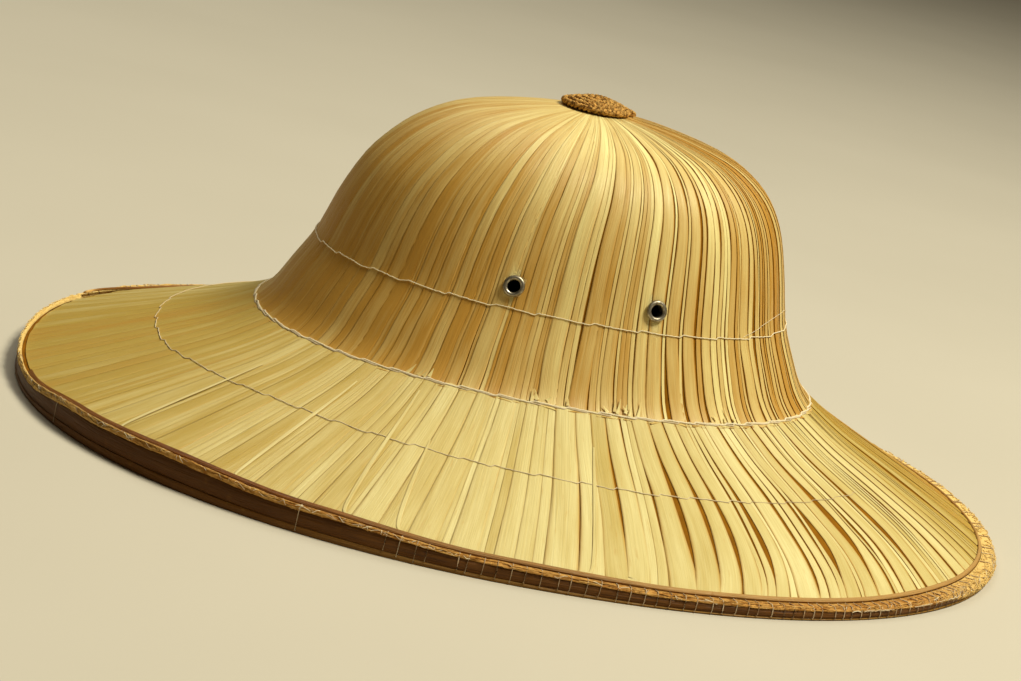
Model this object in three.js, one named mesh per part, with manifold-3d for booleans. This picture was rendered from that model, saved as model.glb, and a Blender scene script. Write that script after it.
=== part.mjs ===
// A sun helmet of dried palm leaf: a domed crown over a sloping brim, a bamboo rim and a fibre knob.
// Millimetres, +Z up. The hat stands on its rim: z = 0 is the plane under the hoop, and the origin is
// the middle of the rim's oval. The long way of the hat runs along X.

import * as THREE from "three";
import Module from "manifold-3d";
import { mergeVertices } from "three/addons/utils/BufferGeometryUtils.js";

const wasm = await Module();
wasm.setup();

// Ovals seen from above. Half lengths run along X and half widths along Y.
const RIM_HALF_LENGTH = 200;
const RIM_HALF_WIDTH = 169;
const WAIST_HALF_LENGTH = 112.6;
const WAIST_HALF_WIDTH = 90;
const THREAD_HALF_LENGTH = 95.5;
const THREAD_HALF_WIDTH = 76.4;
const OVAL_POWER = 2.1;

// Heights above the floor.
const CROWN_HEIGHT = 142.3;
const THREAD_HEIGHT = 74;
const WAIST_HEIGHT = 44.7;
const EDGE_HEIGHT = 7.5;

// The waist tips up toward +X, and the shoulder of the crown leans that way.
const WAIST_TIP = 1.8;
const CROWN_LEAN = 5;

// Leaf layers. The strips overlap like shingles that run down the hat.
const LEAF_WALL = 1.4;
const LEAF_STEP = 0.8;
const LEAF_COUNT = 42;
const LEAF_WIDTH_SHARE = 0.88;
const HEM_LENGTH = 2.5;
const HEM_SLOPE_DEG = 28;
const CLEARANCE = 0.3;

// Rim. Its band is widest at the +X end and narrowest at the other.
const RIM_WIDTH = 5.5;
const RIM_SHIFT = 2.2;
const HOOP_THICKNESS = 2.2;
const HOOP_CHAMFER = 0.5;
const PACKING_HEIGHT = 1.5;
const SPLINT_HEIGHT = 1.5;
const SPLINT_START_DEG = -169;
const SPLINT_END_DEG = 148;
const SPLINT_TIP_LIFT = 3;
const SPLINT_TIP_DEG = 14;

// Fibre knob.
const BUTTON_RADIUS = 15.8;
const BUTTON_HEIGHT = 5;
const BUTTON_COILS = 3;
const BUTTON_SHIFT = 3;
const BUTTON_SIDES = 24;
const BUTTON_EDGE_DROP = 2.75;
const COIL_GROOVE_SHARE = 0.25;

// Eyelets.
const EYELET_BORE_RADIUS = 2.5;
const EYELET_BARREL_RADIUS = 3.1;
const EYELET_FLANGE_RADIUS = 4.5;
const EYELET_CLINCH_RADIUS = 4;
const EYELET_FLANGE_THICKNESS = 0.7;
const EYELET_CLINCH_CLEARANCE = 0.6;
const EYELET_SPACING = 54.6;
const EYELET_HEIGHT = 82.2;
const EYELET_SIDES = 14;
const DRILL_DEPTH = 9;

// Foot of the crown, from the waist up to the thread. Columns: rise, the share of the height between the
// two, and spread, the share of the way from the thread's oval out to the waist's.
const FOOT_SECTIONS = [
  { rise: 0, spread: 1 },
  { rise: 0.21, spread: 0.69 },
  { rise: 0.55, spread: 0.38 },
];

// Dome, from the thread up. Columns: rise, the share of the height from the thread to the top; reach, the
// share of the thread's oval; lean, the share of the crown's lean; lap, the share of the leaf step.
const DOME_SECTIONS = [
  { rise: 0, reach: 1, lean: 0.15, lap: 1 },
  { rise: 0.25, reach: 0.947, lean: 0.15, lap: 1 },
  { rise: 0.47, reach: 0.89, lean: 0.3, lap: 1 },
  { rise: 0.615, reach: 0.822, lean: 0.85, lap: 1 },
  { rise: 0.73, reach: 0.752, lean: 0.95, lap: 1 },
  { rise: 0.825, reach: 0.65, lean: 1, lap: 0.9 },
  { rise: 0.893, reach: 0.54, lean: 1, lap: 0.8 },
  { rise: 0.956, reach: 0.345, lean: 0.9, lap: 0.4 },
  { rise: 0.99, reach: 0.17, lean: 0.7, lap: 0 },
];

// Brim, from the leaf edge in to the foot of the crown. Columns: out, the share of the way from the waist
// to the leaf edge; fall, the share of the drop between them; lap, the share of the leaf step.
const BRIM_SECTIONS = [
  { out: 1, fall: 1, lap: 0 },
  { out: 0.95, fall: 0.955, lap: 1 },
  { out: 0.72, fall: 0.745, lap: 1 },
  { out: 0.44, fall: 0.485, lap: 1 },
  { out: 0.2, fall: 0.25, lap: 1 },
];

// Height of the leaf edge round the rim. Columns: turn, in degrees from +X, and lift, the share of the
// edge's height.
const EDGE_STATIONS = [
  { turn: -180, lift: 1 },
  { turn: -167, lift: 0.95 },
  { turn: -151, lift: 1.45 },
  { turn: -135, lift: 1.6 },
  { turn: -117, lift: 1.35 },
  { turn: -98, lift: 1.05 },
  { turn: -78, lift: 0.85 },
  { turn: -58, lift: 0.82 },
  { turn: -38, lift: 1 },
  { turn: 0, lift: 0.95 },
  { turn: 40, lift: 1.1 },
  { turn: 90, lift: 1.25 },
  { turn: 130, lift: 1.5 },
  { turn: 155, lift: 1.4 },
  { turn: 180, lift: 1 },
];

// Places across the rim's band, as shares of its width from the leaf's open edge outward.
const SPLINT_FROM = 0.02;
const SPLINT_TO = 0.42;
const PACKING_FROM = 0.5;
const LEAF_END = 0.7;

const LEAF_COLOUR = 0xd8c078;
const BRIM_COLOUR = 0xdcc67e;
const HOOP_COLOUR = 0x3a2416;
const SPLINT_COLOUR = 0x7a4420;
const PACKING_COLOUR = 0xb98a52;
const BUTTON_COLOUR = 0x6e4c2a;
const NICKEL_COLOUR = 0xa9a8a2;

const radians = THREE.MathUtils.degToRad;
const lerp = THREE.MathUtils.lerp;

// Two columns of points for each leaf strip: its tucked side and its raised side.
const COLUMNS = [];
for (let leaf = 0; leaf < LEAF_COUNT; leaf++) {
  const pitch = (2 * Math.PI) / LEAF_COUNT;
  const start = leaf * pitch - Math.PI;
  COLUMNS.push({ angle: start, raised: 0 });
  COLUMNS.push({ angle: start + LEAF_WIDTH_SHARE * pitch, raised: 1 });
}

function ovalPoint(angle, halfLength, halfWidth, centreX, z) {
  const c = Math.cos(angle);
  const s = Math.sin(angle);
  const power = 2 / OVAL_POWER;
  const x = centreX + halfLength * Math.sign(c) * Math.abs(c) ** power;
  const y = halfWidth * Math.sign(s) * Math.abs(s) ** power;
  return new THREE.Vector3(x, y, z);
}

// A point inset from the rim's outer oval, square to it.
function rimPoint(angle, inset, z) {
  const step = Math.PI / COLUMNS.length;
  const before = ovalPoint(angle - step, RIM_HALF_LENGTH, RIM_HALF_WIDTH, 0, 0);
  const after = ovalPoint(angle + step, RIM_HALF_LENGTH, RIM_HALF_WIDTH, 0, 0);
  const along = after.sub(before).normalize();
  const point = ovalPoint(angle, RIM_HALF_LENGTH, RIM_HALF_WIDTH, 0, z);
  return point.add(new THREE.Vector3(-along.y, along.x, 0).multiplyScalar(inset));
}

function bandWidth(angle) {
  return RIM_WIDTH + RIM_SHIFT * Math.cos(angle);
}

// Height of the leaf's open edge beside the splint.
function edgeHeight(angle) {
  const turn = THREE.MathUtils.euclideanModulo(THREE.MathUtils.radToDeg(angle) + 180, 360) - 180;
  const next = Math.max(1, EDGE_STATIONS.findIndex((station) => station.turn >= turn));
  const from = EDGE_STATIONS[next - 1];
  const to = EDGE_STATIONS[next];
  const share = THREE.MathUtils.smoothstep(turn, from.turn, to.turn);
  return EDGE_HEIGHT * lerp(from.lift, to.lift, share);
}

// The leaf's top goes on down under the rim pieces at the slope of the brim's last stretch.
const LAST = BRIM_SECTIONS[0];
const BEFORE_LAST = BRIM_SECTIONS[1];
const EDGE_SLOPE =
  ((LAST.fall - BEFORE_LAST.fall) * (WAIST_HEIGHT - EDGE_HEIGHT)) /
  ((LAST.out - BEFORE_LAST.out) * (RIM_HALF_LENGTH - RIM_WIDTH - WAIST_HALF_LENGTH));

function leafTop(angle, share) {
  return edgeHeight(angle) - share * bandWidth(angle) * EDGE_SLOPE;
}

// Inset, from the outer face of the rim, of a place across its band.
function bandInset(angle, share) {
  return (1 - share) * bandWidth(angle);
}

function hoopTop(angle) {
  return leafTop(angle, LEAF_END) - LEAF_WALL - CLEARANCE;
}

// Rows of points on the trough surface of a leaf layer, one row for each section.
function crownRows() {
  const rows = [];
  const hemRun = HEM_LENGTH * Math.cos(radians(HEM_SLOPE_DEG));
  const hemDrop = HEM_LENGTH * Math.sin(radians(HEM_SLOPE_DEG));
  const tipped = (z, angle) => {
    const share = (CROWN_HEIGHT - z) / (CROWN_HEIGHT - WAIST_HEIGHT);
    return z + WAIST_TIP * Math.min(share, 1) * Math.cos(angle);
  };
  const row = (halfLength, halfWidth, centreX, height, lap) => ({
    lap,
    points: COLUMNS.map(({ angle }) =>
      ovalPoint(angle, halfLength, halfWidth, centreX, tipped(height, angle))),
  });
  rows.push(row(WAIST_HALF_LENGTH + hemRun, WAIST_HALF_WIDTH + hemRun, 0, WAIST_HEIGHT - hemDrop, 1));
  for (const { rise, spread } of FOOT_SECTIONS) {
    const halfLength = lerp(THREAD_HALF_LENGTH, WAIST_HALF_LENGTH, spread);
    const halfWidth = lerp(THREAD_HALF_WIDTH, WAIST_HALF_WIDTH, spread);
    rows.push(row(halfLength, halfWidth, 0, lerp(WAIST_HEIGHT, THREAD_HEIGHT, rise), 1));
  }
  for (const { rise, reach, lean, lap } of DOME_SECTIONS) {
    const height = lerp(THREAD_HEIGHT, CROWN_HEIGHT, rise);
    rows.push(row(THREAD_HALF_LENGTH * reach, THREAD_HALF_WIDTH * reach, CROWN_LEAN * lean, height, lap));
  }
  return rows;
}

// Unit normals of a skin of rows, pointing out of the hat.
function rowNormals(rows) {
  return rows.map((row, i) => row.points.map((point, k) => {
    const count = row.points.length;
    const along = row.points[(k + 1) % count].clone().sub(row.points[(k + count - 1) % count]);
    const above = rows[Math.min(i + 1, rows.length - 1)].points[k];
    const below = rows[Math.max(i - 1, 0)].points[k];
    return along.cross(above.clone().sub(below)).normalize();
  }));
}

function brimRows(crown, crownNormals) {
  const rows = [];
  rows.push({
    lap: 0,
    points: COLUMNS.map(({ angle }) =>
      rimPoint(angle, bandInset(angle, LEAF_END), leafTop(angle, LEAF_END))),
  });
  for (const { out, fall, lap } of BRIM_SECTIONS) {
    rows.push({
      lap,
      points: COLUMNS.map(({ angle }) => {
        const tip = WAIST_TIP * Math.cos(angle);
        const waist = ovalPoint(angle, WAIST_HALF_LENGTH, WAIST_HALF_WIDTH, 0, WAIST_HEIGHT + tip);
        const edge = rimPoint(angle, bandWidth(angle), edgeHeight(angle));
        const point = waist.clone().lerp(edge, out);
        point.z = lerp(waist.z, edge.z, fall);
        return point;
      }),
    });
  }
  // The inner edge lies just inside the foot of the crown.
  const tuckedRows = 3;
  for (let i = 0; i < tuckedRows; i++) {
    rows.push({
      lap: 0,
      points: crown[i].points.map((point, k) =>
        point.clone().addScaledVector(crownNormals[i][k], -(LEAF_WALL + CLEARANCE))),
    });
  }
  return rows;
}

// Gathers triangles by the names of their corners.
class SolidBuilder {
  constructor() {
    this.positions = [];
    this.triangles = [];
  }

  add(point) {
    this.positions.push(point.x, point.y, point.z);
    return this.positions.length / 3 - 1;
  }

  addRow(points) {
    return points.map((point) => this.add(point));
  }

  triangle(a, b, c) {
    this.triangles.push(a, b, c);
  }

  quad(a, b, c, d) {
    this.triangle(a, b, c);
    this.triangle(a, c, d);
  }

  // Joins two closed rows of corners, the second above the first when seen from outside.
  band(lower, upper) {
    const count = lower.length;
    for (let k = 0; k < count; k++) {
      const next = (k + 1) % count;
      this.quad(lower[k], lower[next], upper[next], upper[k]);
    }
  }

  geometry() {
    const geometry = new THREE.BufferGeometry();
    geometry.setAttribute("position", new THREE.Float32BufferAttribute(this.positions, 3));
    geometry.setIndex(this.triangles);
    geometry.computeVertexNormals();
    return geometry;
  }
}

// A leaf layer with its shingled outer skin and its plain inner skin. A closed top ends in one point.
function leafShell(rows, normals, closedTop) {
  const builder = new SolidBuilder();
  const outer = rows.map((row, i) => builder.addRow(row.points.map((point, k) =>
    point.clone().addScaledVector(normals[i][k], LEAF_STEP * row.lap * COLUMNS[k].raised))));
  const inner = rows.map((row, i) => builder.addRow(row.points.map((point, k) =>
    point.clone().addScaledVector(normals[i][k], -LEAF_WALL))));
  for (let i = 0; i + 1 < rows.length; i++) {
    builder.band(outer[i], outer[i + 1]);
    builder.band(inner[i + 1], inner[i]);
  }
  builder.band(inner[0], outer[0]);
  const top = rows.length - 1;
  if (closedTop) {
    const centre = new THREE.Vector3(BUTTON_SHIFT, 0, CROWN_HEIGHT);
    const outerTop = builder.add(centre);
    const innerTop = builder.add(centre.clone().setZ(CROWN_HEIGHT - LEAF_WALL));
    for (let k = 0; k < COLUMNS.length; k++) {
      const next = (k + 1) % COLUMNS.length;
      builder.triangle(outer[top][k], outer[top][next], outerTop);
      builder.triangle(inner[top][next], inner[top][k], innerTop);
    }
  } else {
    builder.band(outer[top], inner[top]);
  }
  return builder.geometry();
}

// A bar that follows the rim. The section function gives its corners at an angle, each with an inset
// from the rim's outer face and a height, in order round the bar.
function rimBar(angles, section, closed) {
  const builder = new SolidBuilder();
  const loops = angles.map((angle) => builder.addRow(section(angle).map(({ inset, z }) =>
    rimPoint(angle, inset, z))));
  const last = closed ? loops.length : loops.length - 1;
  for (let k = 0; k < last; k++) {
    builder.band(loops[(k + 1) % loops.length], loops[k]);
  }
  if (!closed) {
    const first = loops[0];
    const end = loops[loops.length - 1];
    for (let j = 1; j + 1 < first.length; j++) {
      builder.triangle(first[0], first[j], first[j + 1]);
      builder.triangle(end[0], end[j + 1], end[j]);
    }
  }
  return builder.geometry();
}

function hoopSection(angle) {
  const top = hoopTop(angle);
  return [
    { inset: 0, z: HOOP_CHAMFER },
    { inset: 0, z: top - HOOP_CHAMFER },
    { inset: HOOP_CHAMFER, z: top },
    { inset: HOOP_THICKNESS, z: top },
    { inset: HOOP_THICKNESS, z: 0 },
    { inset: HOOP_CHAMFER, z: 0 },
  ];
}

function packingSection(angle) {
  const leafFace = bandInset(angle, LEAF_END) - CLEARANCE;
  const inside = bandInset(angle, PACKING_FROM);
  const foot = hoopTop(angle) + CLEARANCE;
  const crest = leafTop(angle, LEAF_END) + PACKING_HEIGHT;
  return [
    { inset: 0, z: foot },
    { inset: 0, z: leafTop(angle, 1) + CLEARANCE },
    { inset: leafFace, z: crest },
    { inset: inside, z: leafTop(angle, PACKING_FROM) + PACKING_HEIGHT },
    { inset: inside, z: leafTop(angle, PACKING_FROM) + CLEARANCE },
    { inset: leafFace, z: leafTop(angle, LEAF_END) + CLEARANCE },
    { inset: leafFace, z: foot },
  ];
}

// The splint's far end springs clear of the leaf.
function splintSection(angle) {
  const end = radians(SPLINT_END_DEG);
  const tip = THREE.MathUtils.smoothstep(angle, end - radians(SPLINT_TIP_DEG), end);
  const lift = CLEARANCE + SPLINT_TIP_LIFT * tip;
  const outside = bandInset(angle, SPLINT_TO);
  const inside = bandInset(angle, SPLINT_FROM);
  return [
    { inset: outside, z: leafTop(angle, SPLINT_TO) + lift },
    { inset: outside, z: leafTop(angle, SPLINT_TO) + lift + SPLINT_HEIGHT },
    { inset: inside, z: leafTop(angle, SPLINT_FROM) + lift + SPLINT_HEIGHT },
    { inset: inside, z: leafTop(angle, SPLINT_FROM) + lift },
  ];
}

// A coiled cord seen as a stack of soft ridges, with a flat seat.
function buttonGeometry() {
  const ridge = BUTTON_RADIUS / BUTTON_COILS;
  const groove = COIL_GROOVE_SHARE * ridge;
  const dome = (radius) => BUTTON_HEIGHT - BUTTON_EDGE_DROP * (radius / BUTTON_RADIUS) ** 2;
  const profile = [new THREE.Vector2(0, 0), new THREE.Vector2(BUTTON_RADIUS - groove, 0)];
  profile.push(new THREE.Vector2(BUTTON_RADIUS, groove));
  for (let coil = BUTTON_COILS - 1; coil >= 0; coil--) {
    const crest = (coil + 0.5) * ridge;
    profile.push(new THREE.Vector2(crest, dome(crest)));
    if (coil > 0) {
      profile.push(new THREE.Vector2(coil * ridge, dome(coil * ridge) - groove));
    }
  }
  profile.push(new THREE.Vector2(0, dome(0) - groove));
  const geometry = new THREE.LatheGeometry(profile, BUTTON_SIDES);
  return geometry.rotateX(Math.PI / 2);
}

// The eyelet's axis is Y, with y = 0 on the trough surface of the leaf layer.
function eyeletGeometry() {
  const seat = LEAF_STEP + CLEARANCE;
  const top = seat + EYELET_FLANGE_THICKNESS;
  const clinch = -(LEAF_WALL + EYELET_CLINCH_CLEARANCE);
  const bottom = clinch - EYELET_FLANGE_THICKNESS;
  const bevel = EYELET_FLANGE_THICKNESS / 2;
  const profile = [
    new THREE.Vector2(EYELET_BORE_RADIUS, bottom),
    new THREE.Vector2(EYELET_CLINCH_RADIUS, bottom),
    new THREE.Vector2(EYELET_CLINCH_RADIUS, clinch),
    new THREE.Vector2(EYELET_BARREL_RADIUS, clinch),
    new THREE.Vector2(EYELET_BARREL_RADIUS, seat),
    new THREE.Vector2(EYELET_FLANGE_RADIUS, seat),
    new THREE.Vector2(EYELET_FLANGE_RADIUS - bevel, top),
    new THREE.Vector2(EYELET_BORE_RADIUS + bevel, top),
    new THREE.Vector2(EYELET_BORE_RADIUS, seat),
    new THREE.Vector2(EYELET_BORE_RADIUS, bottom),
  ];
  return new THREE.LatheGeometry(profile, EYELET_SIDES);
}

// Where a level line on the crown passes a chosen x, on the side of the sign given.
function crownSeat(rows, x, side) {
  const levels = rows.map((row) => row.points[0].z);
  const upper = levels.findIndex((z) => z > EYELET_HEIGHT);
  const share = (EYELET_HEIGHT - levels[upper - 1]) / (levels[upper] - levels[upper - 1]);
  const ring = rows[upper].points.map((point, k) => rows[upper - 1].points[k].clone().lerp(point, share));
  for (let k = 0; k < ring.length; k++) {
    const next = (k + 1) % ring.length;
    const a = ring[k];
    const b = ring[next];
    if (a.y * side > 0 && b.y * side > 0 && (a.x - x) * (b.x - x) <= 0) {
      const point = a.clone().lerp(b, (x - a.x) / (b.x - a.x));
      const up = rows[upper].points[k].clone().sub(rows[upper - 1].points[k]);
      const normal = b.clone().sub(a).cross(up).normalize();
      return { point, normal };
    }
  }
  throw new Error("an eyelet lies off the crown");
}

function quaternionTo(normal) {
  return new THREE.Quaternion().setFromUnitVectors(new THREE.Vector3(0, 1, 0), normal);
}

function toManifold(geometry) {
  const bare = geometry.clone();
  bare.deleteAttribute("normal");
  bare.deleteAttribute("uv");
  const merged = mergeVertices(bare);
  return new wasm.Manifold(new wasm.Mesh({
    numProp: 3,
    vertProperties: new Float32Array(merged.attributes.position.array),
    triVerts: new Uint32Array(merged.index.array),
  }));
}

function fromManifold(solid) {
  const mesh = solid.getMesh();
  const geometry = new THREE.BufferGeometry();
  geometry.setAttribute("position", new THREE.BufferAttribute(mesh.vertProperties, 3));
  geometry.setIndex(new THREE.BufferAttribute(mesh.triVerts, 1));
  geometry.computeVertexNormals();
  return geometry;
}

function finish(color, roughness, metalness = 0) {
  return new THREE.MeshStandardMaterial({ color, roughness, metalness });
}

function named(name, geometry, material) {
  const mesh = new THREE.Mesh(geometry, material);
  mesh.name = name;
  return mesh;
}

const hat = new THREE.Group();

// Leaf layers
const crown = crownRows();
const crownNormals = rowNormals(crown);
const brim = brimRows(crown, crownNormals);

// Eyelets, and the holes they sit in
const seats = [];
for (const side of [-1, 1]) {
  for (const end of [-1, 1]) {
    seats.push(crownSeat(crown, (end * EYELET_SPACING) / 2, side));
  }
}
let crownSolid = toManifold(leafShell(crown, crownNormals, true));
for (const { point, normal } of seats) {
  const drill = new THREE.CylinderGeometry(
    EYELET_BARREL_RADIUS + CLEARANCE, EYELET_BARREL_RADIUS + CLEARANCE, DRILL_DEPTH, EYELET_SIDES);
  drill.applyQuaternion(quaternionTo(normal));
  drill.translate(point.x, point.y, point.z);
  crownSolid = crownSolid.subtract(toManifold(drill));
}
hat.add(named("crown", fromManifold(crownSolid), finish(LEAF_COLOUR, 0.75)));
hat.add(named("brim", leafShell(brim, rowNormals(brim), false), finish(BRIM_COLOUR, 0.75)));
seats.forEach(({ point, normal }, i) => {
  const eyelet = named(`eyelet_${i + 1}`, eyeletGeometry(), finish(NICKEL_COLOUR, 0.35, 1));
  eyelet.position.copy(point);
  eyelet.quaternion.copy(quaternionTo(normal));
  hat.add(eyelet);
});

// Knob
const button = named("crown_button", buttonGeometry(), finish(BUTTON_COLOUR, 0.9));
button.position.set(BUTTON_SHIFT, 0, CROWN_HEIGHT + CLEARANCE);
hat.add(button);

// Rim
const angles = COLUMNS.map(({ angle }) => angle);
hat.add(named("rim_hoop", rimBar(angles, hoopSection, true), finish(HOOP_COLOUR, 0.4)));
hat.add(named("rim_packing", rimBar(angles, packingSection, true), finish(PACKING_COLOUR, 0.9)));
const splintAngles = angles.filter(
  (angle) => angle > radians(SPLINT_START_DEG) && angle < radians(SPLINT_END_DEG));
hat.add(named("rim_splint", rimBar(splintAngles, splintSection, false), finish(SPLINT_COLOUR, 0.45)));

export default hat;
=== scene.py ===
import math
import random

import bmesh
import bpy
from mathutils import Matrix, Vector
from mathutils import noise as smooth_noise


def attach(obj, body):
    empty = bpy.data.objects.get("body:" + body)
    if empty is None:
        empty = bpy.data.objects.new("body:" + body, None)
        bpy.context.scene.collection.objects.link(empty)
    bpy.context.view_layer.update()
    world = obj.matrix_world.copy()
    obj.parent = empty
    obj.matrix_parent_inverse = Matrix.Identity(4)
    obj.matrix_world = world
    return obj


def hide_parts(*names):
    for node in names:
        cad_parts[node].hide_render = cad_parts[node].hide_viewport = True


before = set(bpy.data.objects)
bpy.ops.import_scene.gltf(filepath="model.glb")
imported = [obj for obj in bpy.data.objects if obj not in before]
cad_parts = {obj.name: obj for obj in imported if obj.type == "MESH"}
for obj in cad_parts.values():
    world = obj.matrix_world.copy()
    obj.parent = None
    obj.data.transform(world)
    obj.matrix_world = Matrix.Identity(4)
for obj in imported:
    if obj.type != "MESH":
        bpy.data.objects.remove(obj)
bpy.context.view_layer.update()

MM = 0.001

# Camera and studio. The hat stands by itself on a pale floor, lit by one large soft light from the
# right, a weaker one from the left and the pale room round it.
CAMERA_TURN = math.radians(-11.54)
CAMERA_RISE = math.radians(12.37)
CAMERA_ROLL = math.radians(13.0)
CAMERA_DISTANCE = 1.0407
CAMERA_TARGET = Vector((0, 0, 0.061))
PICTURE_WIDTH = 1021
PICTURE_HEIGHT = 681
TARGET_COLUMN = 544.13
TARGET_ROW = 304.9
FOCAL_PIXELS = 2601.75
SENSOR_WIDTH = 36
FLOOR_RADIUS = 9.0
FLOOR_SIDES = 64
ROOM_COLOUR = (1.0, 0.82, 0.52, 1)
ROOM_STRENGTH = 0.05

back = Vector((math.sin(CAMERA_TURN) * math.cos(CAMERA_RISE),
               -math.cos(CAMERA_TURN) * math.cos(CAMERA_RISE), math.sin(CAMERA_RISE)))
level = Vector((math.cos(CAMERA_TURN), math.sin(CAMERA_TURN), 0))
upright = back.cross(level)
right = level * math.cos(CAMERA_ROLL) + upright * math.sin(CAMERA_ROLL)
above = upright * math.cos(CAMERA_ROLL) - level * math.sin(CAMERA_ROLL)
camera_data = bpy.data.cameras.new("camera")
camera_data.sensor_fit = "HORIZONTAL"
camera_data.sensor_width = SENSOR_WIDTH
camera_data.lens = FOCAL_PIXELS / PICTURE_WIDTH * SENSOR_WIDTH
camera_data.shift_x = (PICTURE_WIDTH / 2 - TARGET_COLUMN) / PICTURE_WIDTH
camera_data.shift_y = (TARGET_ROW - PICTURE_HEIGHT / 2) / PICTURE_WIDTH
camera = bpy.data.objects.new("camera", camera_data)
stand = Matrix((right, above, back)).transposed().to_4x4()
camera.matrix_world = Matrix.Translation(CAMERA_TARGET + back * CAMERA_DISTANCE) @ stand
bpy.context.scene.collection.objects.link(camera)
bpy.context.scene.camera = camera

# Columns: name, direction in degrees round from +X, rise in degrees, distance, size, watts and colour.
LIGHTS = [
    ("key_light", -27, 60, 2.6, 0.85, 86, (1.0, 0.95, 0.77)),
    ("back_light", 104, 58, 2.6, 1.6, 21, (1.0, 0.98, 0.86)),
]
for name, turn, rise, distance, size, watts, colour in LIGHTS:
    light_data = bpy.data.lights.new(name, "AREA")
    light_data.size = size
    light_data.energy = watts
    light_data.color = colour
    light = bpy.data.objects.new(name, light_data)
    turn, rise = math.radians(turn), math.radians(rise)
    place = Vector((math.cos(turn) * math.cos(rise), math.sin(turn) * math.cos(rise), math.sin(rise)))
    light.matrix_world = (Matrix.Translation(place * distance + CAMERA_TARGET)
                          @ place.to_track_quat("Z", "Y").to_matrix().to_4x4())
    bpy.context.scene.collection.objects.link(light)

room = bpy.data.worlds.new("room")
room.use_nodes = True
room.node_tree.nodes["Background"].inputs["Color"].default_value = ROOM_COLOUR
room.node_tree.nodes["Background"].inputs["Strength"].default_value = ROOM_STRENGTH
bpy.context.scene.world = room
bpy.context.scene.view_settings.view_transform = "Standard"


def add_node(tree, kind, inputs=None, **settings):
    """Adds a node, sets it, and gives each input a number or another node's output."""
    node = tree.nodes.new(kind)
    for key, value in settings.items():
        setattr(node, key, value)
    for key, value in (inputs or {}).items():
        if isinstance(value, bpy.types.NodeSocket):
            tree.links.new(value, node.inputs[key])
        else:
            node.inputs[key].default_value = value
    return node


def wire(tree, kind, inputs=None, **settings):
    """Adds a node and returns its first output."""
    return add_node(tree, kind, inputs, **settings).outputs[0]


def calculate(tree, operation, *values):
    """Adds one step of arithmetic and returns its result."""
    return wire(tree, "ShaderNodeMath", dict(enumerate(values)), operation=operation)


def object_place(tree):
    return add_node(tree, "ShaderNodeTexCoord").outputs["Object"]


def new_material(name, **shader_inputs):
    """A material with one Principled shader. Returns it with its tree and its shader."""
    material = bpy.data.materials.new(name)
    material.use_nodes = True
    tree = material.node_tree
    shader = tree.nodes["Principled BSDF"]
    for key, value in shader_inputs.items():
        shader.inputs[key.replace("_", " ")].default_value = value
    return material, tree, shader


def set_look(tree, shader, colour, height=None, depth=0.0, roughness=None):
    """Links a shader's colour, its relief from a height and a depth, and its roughness."""
    tree.links.new(colour, shader.inputs["Base Color"])
    if height is not None:
        tree.links.new(wire(tree, "ShaderNodeBump", {"Height": height, "Distance": depth}),
                       shader.inputs["Normal"])
    if roughness is not None:
        tree.links.new(roughness, shader.inputs["Roughness"])


def new_group(name, kind, inputs, outputs):
    """A node group with named sockets. Returns its tree and what it is given."""
    tree = bpy.data.node_groups.new(name, kind)
    for way, sockets in (("INPUT", inputs), ("OUTPUT", outputs)):
        for label, socket_kind in sockets:
            tree.interface.new_socket(label, in_out=way, socket_type="NodeSocket" + socket_kind)
    return tree, tree.nodes.new("NodeGroupInput").outputs


def blend_colours(tree, share, first, second, mode="MIX"):
    """Mixes two colours and returns the output."""
    return add_node(tree, "ShaderNodeMix", {0: share, 6: first, 7: second},
                    data_type="RGBA", blend_type=mode).outputs[2]


def spread(tree, value, low, high, to_low=0.0, to_high=1.0):
    """Maps a value from one range to another, and returns the output."""
    return wire(tree, "ShaderNodeMapRange", {
        "Value": value, "From Min": low, "From Max": high, "To Min": to_low, "To Max": to_high})


def even_turns(count):
    return [2 * math.pi * k / count for k in range(count)]


def link_object(name, mesh):
    piece = bpy.data.objects.new(name, mesh)
    bpy.context.scene.collection.objects.link(piece)
    return piece


# Uneven grain, drawn out along a surface by three scales.
grain_group, given = new_group(
    "drawn_out_grain", "ShaderNodeTree",
    [("Place", "Vector"), ("Stretch", "Vector"), ("Detail", "Float"), ("Low", "Float"), ("High", "Float")],
    [("Mask", "Float")])
stretched = wire(grain_group, "ShaderNodeVectorMath", {0: given["Place"], 1: given["Stretch"]},
                 operation="MULTIPLY")
grain = wire(grain_group, "ShaderNodeTexNoise", {
    "Vector": stretched, "Scale": 1.0, "Detail": given["Detail"]})
add_node(grain_group, "NodeGroupOutput", {"Mask": spread(grain_group, grain, given["Low"], given["High"])})


def add_grain(tree, place, stretch, detail, low=0.0, high=1.0):
    """Adds the grain to a material, as a mask that goes from the low to the high value of the noise."""
    return wire(tree, "ShaderNodeGroup", {"Place": place, "Stretch": stretch, "Detail": detail,
                                          "Low": low, "High": high}, node_tree=grain_group)


floor_material, tree, shader = new_material("pale_floor", Roughness=0.85)
cloth = add_grain(tree, object_place(tree), (3, 3, 3), 3.0)
set_look(tree, shader, blend_colours(tree, cloth, (0.52, 0.475, 0.38, 1), (0.59, 0.54, 0.44, 1)))
floor_mesh = bpy.data.meshes.new("floor")
floor_mesh.from_pydata([(FLOOR_RADIUS * math.cos(turn), FLOOR_RADIUS * math.sin(turn), 0)
                        for turn in even_turns(FLOOR_SIDES)], [], [tuple(range(FLOOR_SIDES))])
floor_mesh.materials.append(floor_material)
link_object("floor", floor_mesh)

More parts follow.
